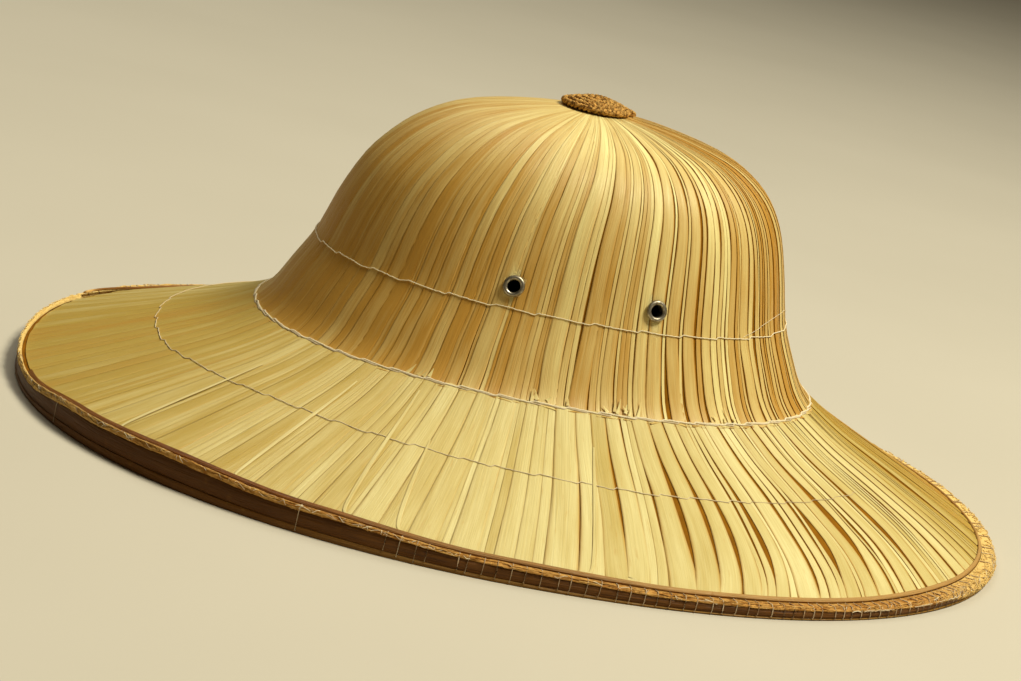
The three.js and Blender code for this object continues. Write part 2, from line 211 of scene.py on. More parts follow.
# Crown shell. The real crown is several layers of dried palm leaf sewn one over the other. The under
# layers make one stiff dome that is brown in the gaps, and its inner face is plain leaf.
WAIST_HALF_LENGTH = 112.6 * MM
WAIST_HALF_WIDTH = 90 * MM
THREAD_HALF_LENGTH = 95.5 * MM
THREAD_HALF_WIDTH = 76.4 * MM
OVAL_POWER = 2.1
CROWN_HEIGHT = 142.3 * MM
THREAD_HEIGHT = 74 * MM
WAIST_HEIGHT = 44.7 * MM
WAIST_TIP = 1.8 * MM
CROWN_LEAN = 5 * MM
LEAF_WALL = 1.4 * MM
HEM_LENGTH = 2.5 * MM
HEM_SLOPE = math.radians(28)
SHELL_DEPTH = 0.1 * MM
SHELL_COLUMNS = 240
SHELL_ROWS = 44
# Columns: rise from the waist to the thread, and spread from the thread's oval to the waist's.
FOOT_SECTIONS = [(0, 1), (0.21, 0.69), (0.55, 0.38)]
# Columns: rise from the thread to the top, reach of the thread's oval, and share of the lean.
DOME_SECTIONS = [(0, 1, 0.1), (0.25, 0.947, 0.2), (0.47, 0.888, 0.42), (0.615, 0.826, 0.68),
                 (0.73, 0.752, 0.86), (0.825, 0.655, 0.96), (0.893, 0.54, 0.98), (0.956, 0.345, 0.9),
                 (0.99, 0.17, 0.7), (1, 0.06, 0.62)]


def between(a, b, share):
    return a + (b - a) * share


def oval_point(angle, half_length, half_width, centre_x, z):
    c, s = math.cos(angle), math.sin(angle)
    power = 2 / OVAL_POWER
    return Vector((centre_x + half_length * math.copysign(abs(c) ** power, c),
                   half_width * math.copysign(abs(s) ** power, s), z))


def smooth_pick(table, place):
    """Reads a table of rows at a place between two rows, along a smooth curve through all of them."""
    i = min(int(place), len(table) - 2)
    t = place - i
    picks = [table[max(0, min(len(table) - 1, i + step))] for step in (-1, 0, 1, 2)]
    return [0.5 * (2 * b + (c - a) * t + (2 * a - 5 * b + 4 * c - d) * t * t
                   + (3 * b - a - 3 * c + d) * t ** 3) for a, b, c, d in zip(*picks)]


# Columns: half length, half width, middle and height.
hem_reach = HEM_LENGTH * math.cos(HEM_SLOPE)
crown_table = [[WAIST_HALF_LENGTH + hem_reach, WAIST_HALF_WIDTH + hem_reach, 0,
                WAIST_HEIGHT - HEM_LENGTH * math.sin(HEM_SLOPE)]]
for rise, share in FOOT_SECTIONS:
    crown_table.append([between(THREAD_HALF_LENGTH, WAIST_HALF_LENGTH, share),
                        between(THREAD_HALF_WIDTH, WAIST_HALF_WIDTH, share), 0,
                        between(WAIST_HEIGHT, THREAD_HEIGHT, rise)])
for rise, reach, lean in DOME_SECTIONS:
    crown_table.append([THREAD_HALF_LENGTH * reach, THREAD_HALF_WIDTH * reach, CROWN_LEAN * lean,
                        between(THREAD_HEIGHT, CROWN_HEIGHT, rise)])
CROWN_TOP_ROW = len(crown_table) - 1


def crown_point(angle, row):
    half_length, half_width, middle, height = smooth_pick(crown_table, max(0, min(CROWN_TOP_ROW, row)))
    share = min((CROWN_HEIGHT - height) / (CROWN_HEIGHT - WAIST_HEIGHT), 1)
    return oval_point(angle, half_length, half_width, middle, height + WAIST_TIP * share * math.cos(angle))


FRAME_TURN = 0.004
FRAME_CLIMB = 0.02


def surface_frame(surface, angle, row, top_row):
    """A point on a leaf surface, with the directions round the hat, up the surface and out of it."""
    point = surface(angle, row)
    across = surface(angle + FRAME_TURN, row) - surface(angle - FRAME_TURN, row)
    stretch = across.length / (2 * FRAME_TURN)
    lower, upper = max(0, row - FRAME_CLIMB), min(top_row, row + FRAME_CLIMB)
    along = (surface(angle, upper) - surface(angle, lower)).normalized()
    across.normalize()
    return point, across, along, across.cross(along).normalized(), stretch


def make_shell(name, surface, top_row, row_count, closed_top):
    """A closed wall that follows a leaf surface, brown outside and plain leaf inside."""
    positions, faces, inside, grids = [], [], [], []
    for lift in (-SHELL_DEPTH, -LEAF_WALL):
        grids.append([])
        for i in range(row_count + 1):
            grids[-1].append(range(len(positions), len(positions) + SHELL_COLUMNS))
            for angle in even_turns(SHELL_COLUMNS):
                point, _, _, normal, _ = surface_frame(surface, angle, top_row * i / row_count, top_row)
                positions.append(point + normal * lift)
    outer, inner = grids

    def join(lower, upper, is_inner):
        for k in range(SHELL_COLUMNS):
            n = (k + 1) % SHELL_COLUMNS
            faces.append((lower[k], lower[n], upper[n], upper[k]))
            inside.append(is_inner)

    for i in range(row_count):
        join(outer[i], outer[i + 1], 0)
        join(inner[i + 1], inner[i], 1)
    join(inner[0], outer[0], 0)
    if closed_top:
        faces.append(tuple(outer[-1]))
        faces.append(tuple(reversed(inner[-1])))
        inside += [0, 1]
    else:
        join(outer[-1], inner[-1], 0)
    mesh = bpy.data.meshes.new(name)
    mesh.from_pydata(positions, [], faces)
    for material in (under_leaf, inner_leaf):
        mesh.materials.append(material)
    mesh.polygons.foreach_set("material_index", inside)
    mesh.polygons.foreach_set("use_smooth", [True] * len(faces))
    return link_object(name, mesh)


under_leaf, tree, shader = new_material("under_leaf", Roughness=0.8, Specular_IOR_Level=0.05)
grain = add_grain(tree, object_place(tree), (160, 160, 160), 4.0)
set_look(tree, shader, blend_colours(tree, grain, (0.13, 0.048, 0.002, 1), (0.36, 0.145, 0.007, 1)),
         grain, 0.4 * MM)

# The inner face shows leaf strips that run from the rim to the top.
INNER_STRIPS = 96
inner_leaf, tree, shader = new_material("inner_leaf", Roughness=0.6)
place = object_place(tree)
parts = add_node(tree, "ShaderNodeSeparateXYZ", {0: place}).outputs
turns = calculate(tree, "MULTIPLY", calculate(tree, "ARCTAN2", parts["Y"], parts["X"]),
                  INNER_STRIPS / (2 * math.pi))
shade = add_node(tree, "ShaderNodeTexWhiteNoise", {"W": calculate(tree, "FLOOR", turns)},
                 noise_dimensions="1D").outputs["Value"]
gap = spread(tree, calculate(tree, "FRACT", turns), 0.0, 0.08)
fibre = add_grain(tree, place, (240, 240, 240), 3.0)
leaf = blend_colours(tree, shade, (0.44, 0.30, 0.11, 1), (0.62, 0.46, 0.19, 1))
leaf = blend_colours(tree, 0.25, leaf, fibre, "MULTIPLY")
set_look(tree, shader, blend_colours(tree, gap, (0.12, 0.06, 0.015, 1), leaf), gap, 0.6 * MM)

crown_shell = make_shell("crown_shell", crown_point, CROWN_TOP_ROW, SHELL_ROWS, True)
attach(crown_shell, "root")
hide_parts("crown")

# Brim shell. The brim is made as the crown is, from leaf laid side by side from the waist to the rim.
# Its inner edge is tucked under the foot of the crown.
RIM_HALF_LENGTH = 200 * MM
RIM_HALF_WIDTH = 169 * MM
EDGE_HEIGHT = 7.5 * MM
RIM_WIDTH = 5.5 * MM
RIM_SHIFT = 2.2 * MM
LEAF_END = 0.7
RIM_STEP = 0.01
CLEARANCE = 0.3 * MM
# Columns: share of the way from the waist to the leaf edge, and share of the drop between them.
BRIM_SECTIONS = [(0, 0), (0.2, 0.25), (0.44, 0.485), (0.72, 0.745), (0.95, 0.955), (1, 1)]
LAST_REACH = 0.05
LAST_FALL = 0.045
# Columns: turn in degrees from +X, and share of the leaf edge's height.
EDGE_STATIONS = [(-180, 1), (-167, 0.95), (-151, 1.45), (-135, 1.6), (-117, 1.3), (-98, 0.95),
                 (-78, 0.75), (-58, 0.7), (-38, 0.8), (0, 0.9), (40, 1.1), (90, 1.25), (130, 1.5),
                 (155, 1.4), (180, 1)]
BRIM_TOP_ROW = 5
TUCKED_ROWS = 1.5
SHELL_BRIM_ROWS = 30


def read_stations(stations, turn, column=1):
    """Reads one column of a table of places round the hat, evenly from one row to the next."""
    turn = (math.degrees(turn) + 180) % 360 - 180
    for before, after in zip(stations, stations[1:]):
        if turn <= after[0]:
            t = (turn - before[0]) / (after[0] - before[0])
            return between(before[column], after[column], t * t * (3 - 2 * t))
    return stations[-1][column]


def rim_point(angle, inset, z):
    before = oval_point(angle - RIM_STEP, RIM_HALF_LENGTH, RIM_HALF_WIDTH, 0, 0)
    along = (oval_point(angle + RIM_STEP, RIM_HALF_LENGTH, RIM_HALF_WIDTH, 0, 0) - before).normalized()
    return (oval_point(angle, RIM_HALF_LENGTH, RIM_HALF_WIDTH, 0, z)
            + Vector((-along.y, along.x, 0)) * inset)


def band_width(angle):
    return RIM_WIDTH + RIM_SHIFT * math.cos(angle)


def edge_height(angle):
    return EDGE_HEIGHT * read_stations(EDGE_STATIONS, angle)


# Under the rim the leaf keeps the slope of its last stretch, from the table above.
EDGE_SLOPE = (LAST_FALL / LAST_REACH * (WAIST_HEIGHT - EDGE_HEIGHT)
              / (RIM_HALF_LENGTH - RIM_WIDTH - WAIST_HALF_LENGTH))


def leaf_top(angle, share):
    return edge_height(angle) - share * band_width(angle) * EDGE_SLOPE


def band_inset(angle, share):
    return (1 - share) * band_width(angle)


def brim_place(row):
    """The share of the way out and the share of the drop, for a row from the open edge to the waist."""
    return smooth_pick(BRIM_SECTIONS, BRIM_TOP_ROW * (1 - (max(1, row) - 1) / (BRIM_TOP_ROW - 1)))


def brim_point(angle, row):
    """Row 0 is the leaf's hidden end under the rim, row 1 its open edge, row 5 the waist."""
    edge = rim_point(angle, band_inset(angle, 0), edge_height(angle))
    if row < 1:
        hidden = rim_point(angle, band_inset(angle, LEAF_END), leaf_top(angle, LEAF_END))
        return hidden.lerp(edge, row)
    tip = WAIST_TIP * math.cos(angle)
    waist = oval_point(angle, WAIST_HALF_LENGTH, WAIST_HALF_WIDTH, 0, WAIST_HEIGHT + tip)
    out, fall = brim_place(row)
    point = waist.lerp(edge, out)
    point.z = between(waist.z, edge.z, fall)
    return point


def brim_shell_point(angle, row):
    if row <= BRIM_TOP_ROW:
        return brim_point(angle, row)
    point, _, _, normal, _ = surface_frame(crown_point, angle, 1 + (row - BRIM_TOP_ROW) * TUCKED_ROWS,
                                           CROWN_TOP_ROW)
    return point - normal * (LEAF_WALL + CLEARANCE)


brim_shell = make_shell("brim_shell", brim_shell_point, BRIM_TOP_ROW + 1, SHELL_BRIM_ROWS, False)
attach(brim_shell, "root")
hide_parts("brim")

# Crown leaves. The top layer is long strips of dried palm leaf, laid side by side from the knob to the
# seam. One edge of each strip lies over the strip beside it, and narrow and wide strips take turns.
CROWN_STRIPS = 166
CROWN_STRIP_STEPS = 30
CROWN_STRIP_END = CROWN_TOP_ROW - 0.7
STRIP_THICKNESS = 0.045
STRIP_CUP = 0.025
STRIP_SIDES = 14
LEAF_LIFT = 0.05 * MM

# The sweep draws a rounded flat section along the guide lines. The lines carry their own half width, their
# outward direction, a tone for their colour and a number for their grain.
sweep_tree, given = new_group(
    "strip_sweep", "GeometryNodeTree",
    [("Geometry", "Geometry"), ("Section Points", "Int"), ("Thickness Share", "Float"),
     ("Cup Share", "Float"), ("Material", "Material")], [("Geometry", "Geometry")])


def store(geometry, name, value, kind="FLOAT"):
    return wire(sweep_tree, "GeometryNodeStoreNamedAttribute",
                {"Geometry": geometry, "Name": name, "Value": value}, data_type=kind, domain="POINT")


def read(name, kind="FLOAT"):
    return wire(sweep_tree, "GeometryNodeInputNamedAttribute", {"Name": name}, data_type=kind)


circle = wire(sweep_tree, "GeometryNodeCurvePrimitiveCircle", {
    "Resolution": given["Section Points"], "Radius": 1.0})
corner = add_node(sweep_tree, "ShaderNodeSeparateXYZ", {
    0: wire(sweep_tree, "GeometryNodeInputPosition")}).outputs
flat = calculate(sweep_tree, "MULTIPLY", corner["X"], given["Thickness Share"])
inner = calculate(sweep_tree, "SUBTRACT", 1.0, calculate(sweep_tree, "MULTIPLY", corner["Y"], corner["Y"]))
cup = calculate(sweep_tree, "MULTIPLY_ADD", inner, given["Cup Share"], flat)
section = wire(sweep_tree, "GeometryNodeSetPosition", {
    "Geometry": store(circle, "across", corner["Y"]),
    "Position": wire(sweep_tree, "ShaderNodeCombineXYZ", {"X": cup, "Y": corner["Y"]})})
lines = store(wire(sweep_tree, "GeometryNodeMeshToCurve", {"Mesh": given["Geometry"]}), "run",
              add_node(sweep_tree, "GeometryNodeSplineParameter").outputs["Length"])
lines = wire(sweep_tree, "GeometryNodeSetCurveNormal",
             {"Curve": lines, "Normal": read("outward", "FLOAT_VECTOR")}, mode="FREE")
swept = wire(sweep_tree, "GeometryNodeCurveToMesh", {
    "Curve": lines, "Profile Curve": section, "Scale": read("half_width"), "Fill Caps": True})
spot = wire(sweep_tree, "ShaderNodeCombineXYZ", {
    "X": calculate(sweep_tree, "MULTIPLY", read("across"), read("half_width")),
    "Y": read("run"), "Z": read("grain")})
spot = wire(sweep_tree, "ShaderNodeVectorMath", {0: spot, 1: (1 / MM, 1 / MM, 1)}, operation="MULTIPLY")
swept = store(swept, "strip_place", spot, "FLOAT_VECTOR")
swept = wire(sweep_tree, "GeometryNodeSetMaterial", {
    "Geometry": wire(sweep_tree, "GeometryNodeRealizeInstances", {"Geometry": swept}),
    "Material": given["Material"]})
add_node(sweep_tree, "NodeGroupOutput", {"Geometry": swept})


def sweep_lines(name, lines, material, section_points, thickness=1.0, cup=0.0):
    """Turns guide lines into one mesh of closed strips or cords. A line holds its points, outward
    directions, half widths, tone (one or one for each point), grain, and stain, which also sets how much
    shade is painted on the strip's edges."""
    positions, edges, outward, widths, tones, grains, stains_and_shades = [], [], [], [], [], [], []
    for points, normals, half_widths, tone, grain, stain_and_shade in lines:
        first = len(positions)
        positions += points
        outward += [value for normal in normals for value in normal]
        widths += half_widths
        tones += tone if isinstance(tone, list) else [tone] * len(points)
        grains += [grain] * len(points)
        stains_and_shades += [stain_and_shade] * len(points)
        edges += [(first + i, first + i + 1) for i in range(len(points) - 1)]
    mesh = bpy.data.meshes.new(name)
    mesh.from_pydata(positions, edges, [])
    mesh.attributes.new("outward", "FLOAT_VECTOR", "POINT").data.foreach_set("vector", outward)
    for key, values in (("half_width", widths), ("tone", tones), ("grain", grains), ("stain_and_shade", stains_and_shades)):
        mesh.attributes.new(key, "FLOAT", "POINT").data.foreach_set("value", values)
    guide = link_object(name, mesh)
    sweep = guide.modifiers.new("sweep", "NODES")
    sweep.node_group = sweep_tree
    values = {"Section Points": section_points, "Thickness Share": thickness, "Cup Share": cup,
              "Material": material}
    for socket in sweep_tree.interface.items_tree:
        if socket.in_out == "INPUT" and socket.name in values:
            sweep[socket.identifier] = values[socket.name]
    evaluated = guide.evaluated_get(bpy.context.evaluated_depsgraph_get())
    result = bpy.data.meshes.new_from_object(evaluated)
    guide.modifiers.remove(sweep)
    solid = bmesh.new()
    solid.from_mesh(result)
    bmesh.ops.recalc_face_normals(solid, faces=solid.faces)
    solid.to_mesh(result)
    solid.free()
    result.polygons.foreach_set("use_smooth", [True] * len(result.polygons))
    result.name = name
    guide.data = result
    return guide


NARROW_CHANCE = 0.42
NARROW_STRIPS = (0.35, 0.8)
WIDE_STRIPS = (1.0, 2.3)


def divide_round(count, rng):
    """Splits the turn round the hat into strips that are narrow and wide by turns."""
    shares = [rng.uniform(*(NARROW_STRIPS if rng.random() < NARROW_CHANCE else WIDE_STRIPS))
              for _ in range(count)]
    scale = 2 * math.pi / sum(shares)
    start, strips = -math.pi, []
    for share in shares:
        strips.append((start + share * scale / 2, share * scale))
        start += share * scale
    return strips


def read_mark(tree, name, output="Fac"):
    """Reads a value that a mesh carries."""
    return add_node(tree, "ShaderNodeAttribute", attribute_name=name).outputs[output]


# Dried palm leaf: fine ribs along the strip, a tone for each strip, and brown edges. The brown edges are
# partly painted shade, and a warm darker band along both edges is painted shade that makes each strip look
# rounded.
LOOK_OUTPUTS = [("Color", "Color"), ("Roughness", "Float"), ("Height", "Float")]
leaf_group, given = new_group("dried_palm_leaf", "ShaderNodeTree", [
    ("Pale", "Color"), ("Deep", "Color"), ("Warm", "Color"), ("Edge", "Color")], LOOK_OUTPUTS)
tree = leaf_group
place, edge_stain_and_shade = read_mark(tree, "strip_place", "Vector"), read_mark(tree, "stain_and_shade")
broad = add_grain(tree, place, (0.25, 0.03, 1), 2.0, 0.3, 0.7)
ribs = add_grain(tree, place, (1.7, 0.02, 1), 2.0, 0.3, 0.7)
fine = add_grain(tree, place, (5, 0.05, 1), 3.0, 0.3, 0.7)
blotch = add_grain(tree, place, (0.9, 0.12, 1), 4.0, 0.35, 0.8)
mixed = calculate(tree, "MULTIPLY_ADD", broad, 0.4, read_mark(tree, "tone"))
mixed = calculate(tree, "MULTIPLY_ADD", ribs, 0.22, mixed)
side = calculate(tree, "ABSOLUTE", read_mark(tree, "across"))
# Painted shade: a warm darker band along both edges of each strip, so that it looks rounded.
painted_rounding_shade = calculate(tree, "MULTIPLY", spread(tree, side, 0.68, 0.98, 0.0, 0.6), edge_stain_and_shade)
# Brown edges: partly the leaf's own brown, partly painted shade for the shadowed lines between strips.
brown = calculate(tree, "MULTIPLY", spread(tree, side, 0.84, 1.0),
                  spread(tree, blotch, 0.0, 0.6, 0.35, 0.9))
colour = given["Pale"]
for share, layer in ((spread(tree, mixed, 0.2, 1.5), "Deep"),
                     (spread(tree, fine, 0.2, 1.0, 0.0, 0.25), "Deep"),
                     (spread(tree, blotch, 0.6, 1.0, 0.0, 0.4), "Warm"),
                     (spread(tree, mixed, 1.6, 2.5, 0.0, 0.8), "Edge"), (painted_rounding_shade, "Warm"),
                     (calculate(tree, "MULTIPLY", brown, edge_stain_and_shade), "Edge")):
    colour = blend_colours(tree, share, colour, given[layer])
add_node(tree, "NodeGroupOutput", {
    "Color": colour, "Roughness": spread(tree, fine, 0.0, 1.0, 0.34, 0.52),
    "Height": calculate(tree, "ADD", ribs, fine)})


def look_material(name, group, colours, bump, **shader_inputs):
    """A material whose colour, roughness and relief come from one node group."""
    material, tree, shader = new_material(name, **shader_inputs)
    look = add_node(tree, "ShaderNodeGroup", colours, node_tree=group).outputs
    set_look(tree, shader, look["Color"], look["Height"], bump, look["Roughness"])
    return material


# Columns: turn in degrees from +X, the lap in millimetres, the gape, the stain of the edges with its painted
# edge shade, and how much deeper the colour is at the foot and at the top. The deeper colour on the left is
# painted shade and the paler top at the front is a painted highlight; elsewhere it is the leaf's own tone.
CROWN_LAY = [(-180, 0.08, 0.0, 0.25, 0.8, 0.3), (-135, 0.09, 0.0, 0.25, 0.7, 0.0),
             (-105, 0.10, 0.02, 0.5, 0.5, -0.25), (-80, 0.09, 0.05, 0.8, 0.15, -0.3),
             (-60, 0.08, 0.09, 1, 0.05, -0.2), (-44, 0.07, 0.12, 1, 0.2, 0.25),
             (-33, 0.06, 0.17, 1.6, 0.7, 0.95), (-14, 0.05, 0.14, 1.2, 0.4, 0.75),
             (30, 0.04, 0.12, 1, 0.2, 0.4), (60, 0.05, 0.05, 0.8, 0.3, 0.3),
             (130, 0.08, 0.01, 0.3, 0.3, 0.3), (180, 0.08, 0.0, 0.25, 0.8, 0.3)]
DEEP_FOOT_ROW = 4
CALM_DRIFT = 0.2
LOOSE_GAPE = 0.08
FULL_COVER = 1.12
LOOSE_COVER = 1.04
GAPE_SPREAD = (0.2, 2.4)
LAP_SPREAD = (0.7, 1.4)
STAIN_AND_SHADE_SPREAD = (0.6, 1.2)
LIKELY_TONE = 0.45
TONE_SPREAD = (-0.5, 0.5)
WANDER = 0.12
DRIFT = 0.25
WIDTH_WAVER = 0.12
LEAST_HALF_WIDTH = 0.42 * MM
RELIEF_DEPTH = 0.07 * MM


def waver(*place):
    """A smooth uneven value between -1 and 1 for a place."""
    return smooth_noise.noise(Vector(place))


def add_step(line, surface, top_row, angle, row, width, lap, least):
    """Adds a step of a strip to its line. The strip leans, so that its one edge lies over its neighbour."""
    point, across, _, normal, stretch = surface_frame(surface, angle, row, top_row)
    half = max(0.5 * width * stretch, least)
    tilt = math.atan2(lap, 2 * half)
    line[0].append(point + normal * (LEAF_LIFT + lap / 2))
    line[1].append(normal * math.cos(tilt) + across * math.sin(tilt))
    line[2].append(half)


crown_leaf = look_material("crown_leaf_strip", leaf_group, {
    "Pale": (0.93, 0.83, 0.37, 1), "Deep": (0.53, 0.283, 0.047, 1), "Warm": (0.52, 0.24, 0.024, 1),
    "Edge": (0.48, 0.20, 0.014, 1)}, RELIEF_DEPTH, Specular_IOR_Level=0.3)
draw = random.Random(11)
crown_lines = []
for centre, width in divide_round(CROWN_STRIPS, draw):
    mean_lap, gape, stain_and_shade, foot_tone_and_shade, top_tone_shade_and_highlight = [read_stations(CROWN_LAY, centre, k) for k in range(1, 6)]
    loose = between(CALM_DRIFT, 1, min(1, gape / LOOSE_GAPE))
    cover = between(FULL_COVER, LOOSE_COVER, loose) - gape * draw.uniform(*GAPE_SPREAD)
    wander = draw.uniform(-WANDER, WANDER) * width * loose
    lap = mean_lap * draw.uniform(*LAP_SPREAD) * MM
    bottom = draw.uniform(0.0, 0.6)
    seed = draw.uniform(0, 90)
    shade = LIKELY_TONE + draw.uniform(*TONE_SPREAD) * between(0.35, 1.0, stain_and_shade)
    line, tones = ([], [], []), []
    for i in range(CROWN_STRIP_STEPS + 1):
        row = between(bottom, CROWN_STRIP_END, i / CROWN_STRIP_STEPS)
        height_share = max(0, min(1, (row - DEEP_FOOT_ROW) / (CROWN_STRIP_END - DEEP_FOOT_ROW)))
        # The tone changes from the foot to the top: painted shade on the left, a painted highlight at the
        # front top, and the leaf's own tone elsewhere.
        tones.append(shade + between(foot_tone_and_shade, top_tone_shade_and_highlight, height_share))
        angle = (centre + wander * math.sin(row * 0.5 + seed)
                 + waver(seed, row * 0.35, 0) * width * DRIFT * loose)
        open_share = cover + WIDTH_WAVER * loose * waver(row * 0.3, seed, 5)
        add_step(line, crown_point, CROWN_TOP_ROW, angle, row, width * open_share, lap, LEAST_HALF_WIDTH)
    crown_lines.append((*line, tones, seed, stain_and_shade * draw.uniform(*STAIN_AND_SHADE_SPREAD)))



def sliver_line(surface, top_row, steps, way, *marks):
    """A sliver that lies over the strips. Its way gives the angle, the row, the lift and the half width in
    millimetres for a share of its length. Its marks are its tone, grain, and stain with its painted edge
    shade."""
    line = [], [], []
    for i in range(steps + 1):
        angle, row, lift, half = way(i / steps)
        point, _, _, normal, _ = surface_frame(surface, angle, row, top_row)
        line[0].append(point + normal * lift * MM)
        line[1].append(normal)
        line[2].append(half * MM)
    return (*line, *marks)


# Where the top leaf is torn at the crown's foot, short pale slivers curl up just above the seam.
TORN_SLIVERS = 30
TORN_PLACES = (-96, -93, -82, -80, -58, -120, 30, 95, 140)
TORN_STEPS = 5
for _ in range(TORN_SLIVERS):
    turn = draw.choice(TORN_PLACES) + draw.gauss(0, 2.2)
    low, high = draw.uniform(0.9, 1.2), draw.uniform(1.3, 1.9)
    lean_over = draw.uniform(-0.9, 0.9)
    crown_lines.append(sliver_line(
        crown_point, CROWN_TOP_ROW, TORN_STEPS,
        lambda share: (math.radians(turn + lean_over * share), between(low, high, share),
                       between(0.75, 1.15, share * share), between(0.8, 0.1, share ** 1.2)),
        draw.uniform(0, 0.5), draw.uniform(0, 90), 0.3))
crown_leaves = sweep_lines("crown_leaves", crown_lines, crown_leaf, STRIP_SIDES, STRIP_THICKNESS, STRIP_CUP)
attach(crown_leaves, "root")
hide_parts("crown")

# Brim leaves. The brim's top layer runs from under the seam to the rim. Toward the right end the strips
# bend round in long S curves and gape, so that the brown under layer shows between them.
BRIM_STRIPS = 204
BRIM_STRIP_STEPS = 24
# Columns: turn in degrees from +X, then how far the strips bow and how far they drift, in degrees.
SWEEP_STATIONS = [(-180, 0, 0), (-110, 0, 0), (-90, 0.1, 0.8), (-78, 0.3, 1.8), (-66, 1.3, 1.2),
                  (-50, 1.6, 0.8), (-38, 1.9, 0.2), (-20, 1.5, 0), (10, 0.6, 0), (40, 0, 0), (180, 0, 0)]
# Columns: turn in degrees from +X, the lap in millimetres, then the gape, the stain of the edges with its
# painted edge shade, and how much deeper the colour is. The deeper colour on the left is painted shade;
# elsewhere it is the leaf's own tone.
BRIM_LAY = [(-180, 0.09, 0.0, 0.3, 1.0), (-130, 0.09, 0.0, 0.3, 0.5), (-100, 0.10, 0.01, 0.4, 0.08),
            (-80, 0.08, 0.05, 0.8, -0.05), (-60, 0.06, 0.09, 1, -0.15), (-35, 0.06, 0.11, 1, -0.1),
            (-14, 0.06, 0.14, 1, 0.5), (-4, 0.05, 0.15, 1.4, 1.0), (14, 0.05, 0.14, 1.5, 1.25),
            (60, 0.06, 0.05, 0.7, 0.3), (130, 0.09, 0.01, 0.35, 0.2), (180, 0.09, 0.0, 0.3, 0.95)]
EDGE_PULL = math.radians(1.6)
PULL_START = 0.65
PULL_GAPE = 0.04
WIDE_SPLIT = 0.3
SPLIT_CHANCE = 0.08
BRIM_LOOSE_COVER = 1.05
BRIM_GAPE_SPREAD = (0.2, 1.8)
BRIM_LEAST_HALF_WIDTH = 0.5 * MM
BRIM_END_ROW = 0.9
BRIM_DRIFT = 0.22
BRIM_WIDTH_WAVER = 0.1
MIDDLE_RADIUS = 150 * MM
GAP_REACH = 7
# The widest gaps. Columns: turn in degrees from +X, the share of the way out, and the width in millimetres.
WIDE_GAPS = [(-66, 0.7, 1.3), (-55.5, 0.68, 3.0), (-47, 0.62, 2.4), (-40.5, 0.6, 3.2), (-41, 0.24, 2.2),
             (-27, 0.3, 1.2), (-15, 0.55, 2.4), (-6, 0.6, 2.0), (2, 0.5, 2.0)]


def lens(out, place):
    """How far open a gap is, from nothing at the waist to full at its place and nothing at the rim."""
    return math.sin(math.pi * min(1, out ** place)) ** 4


def pushed_apart(centre, out):
    """How far the strips beside the widest gaps are pushed to the sides."""
    push = 0
    for gap_turn, gap_out, gap_width in WIDE_GAPS:
        away = math.degrees(centre) - gap_turn
        push += (math.copysign(gap_width / 2 * MM / MIDDLE_RADIUS, away) * math.exp(-abs(away) / GAP_REACH)
                 * lens(out, math.log(0.5) / math.log(gap_out)))
    return push


brim_leaf = look_material("brim_leaf_strip", leaf_group, {
    "Pale": (0.83, 0.74, 0.36, 1), "Deep": (0.49, 0.335, 0.06, 1), "Warm": (0.54, 0.27, 0.028, 1),
    "Edge": (0.50, 0.225, 0.018, 1)}, RELIEF_DEPTH, Specular_IOR_Level=0.3)
brim_lines = []
for centre, width in divide_round(BRIM_STRIPS, draw):
    mean_lap, gape, stain_and_shade, depth = [read_stations(BRIM_LAY, centre, k) for k in range(1, 5)]
    loose = between(CALM_DRIFT, 1, min(1, gape / LOOSE_GAPE))
    cover = between(FULL_COVER, BRIM_LOOSE_COVER, loose) - gape * draw.uniform(*BRIM_GAPE_SPREAD)
    pulled = max(0, min(1, (gape - PULL_GAPE) / PULL_GAPE))
    split = gape * draw.uniform(0, 1) ** 3 * 3 + WIDE_SPLIT * pulled * (draw.random() < SPLIT_CHANCE)
    split_place = draw.uniform(0.9, 1.5)
    lap = mean_lap * draw.uniform(*LAP_SPREAD) * MM
    seed = draw.uniform(0, 90)
    bow = math.radians(read_stations(SWEEP_STATIONS, centre)) * draw.uniform(0.8, 1.25)
    stray = math.radians(read_stations(SWEEP_STATIONS, centre, 2))
    line = [], [], []
    for i in range(BRIM_STRIP_STEPS + 1):
        row = between(BRIM_END_ROW, BRIM_TOP_ROW, i / BRIM_STRIP_STEPS)
        out = brim_place(row)[0]
        opening = split * lens(out, split_place)
        pull = EDGE_PULL * pulled * max(0, (out - PULL_START) / (1 - PULL_START)) ** 2
        angle = (centre + waver(seed, row * 0.45, 9) * width * BRIM_DRIFT * loose
                 + bow * math.sin(math.pi * out) - stray * out - pull
                 + 0.5 * width * opening + pushed_apart(centre, out))
        open_share = cover + BRIM_WIDTH_WAVER * loose * waver(row * 0.5, seed, 3) - opening
        add_step(line, brim_point, BRIM_TOP_ROW, angle, row, width * open_share, lap, BRIM_LEAST_HALF_WIDTH)
    # The depth darkens the strips on the left as painted shade, and elsewhere gives the leaf's own tone.
    tone = LIKELY_TONE + depth + draw.uniform(*TONE_SPREAD) * between(0.5, 0.6, stain_and_shade)
    brim_lines.append((*line, tone, seed, stain_and_shade * draw.uniform(*STAIN_AND_SHADE_SPREAD)))

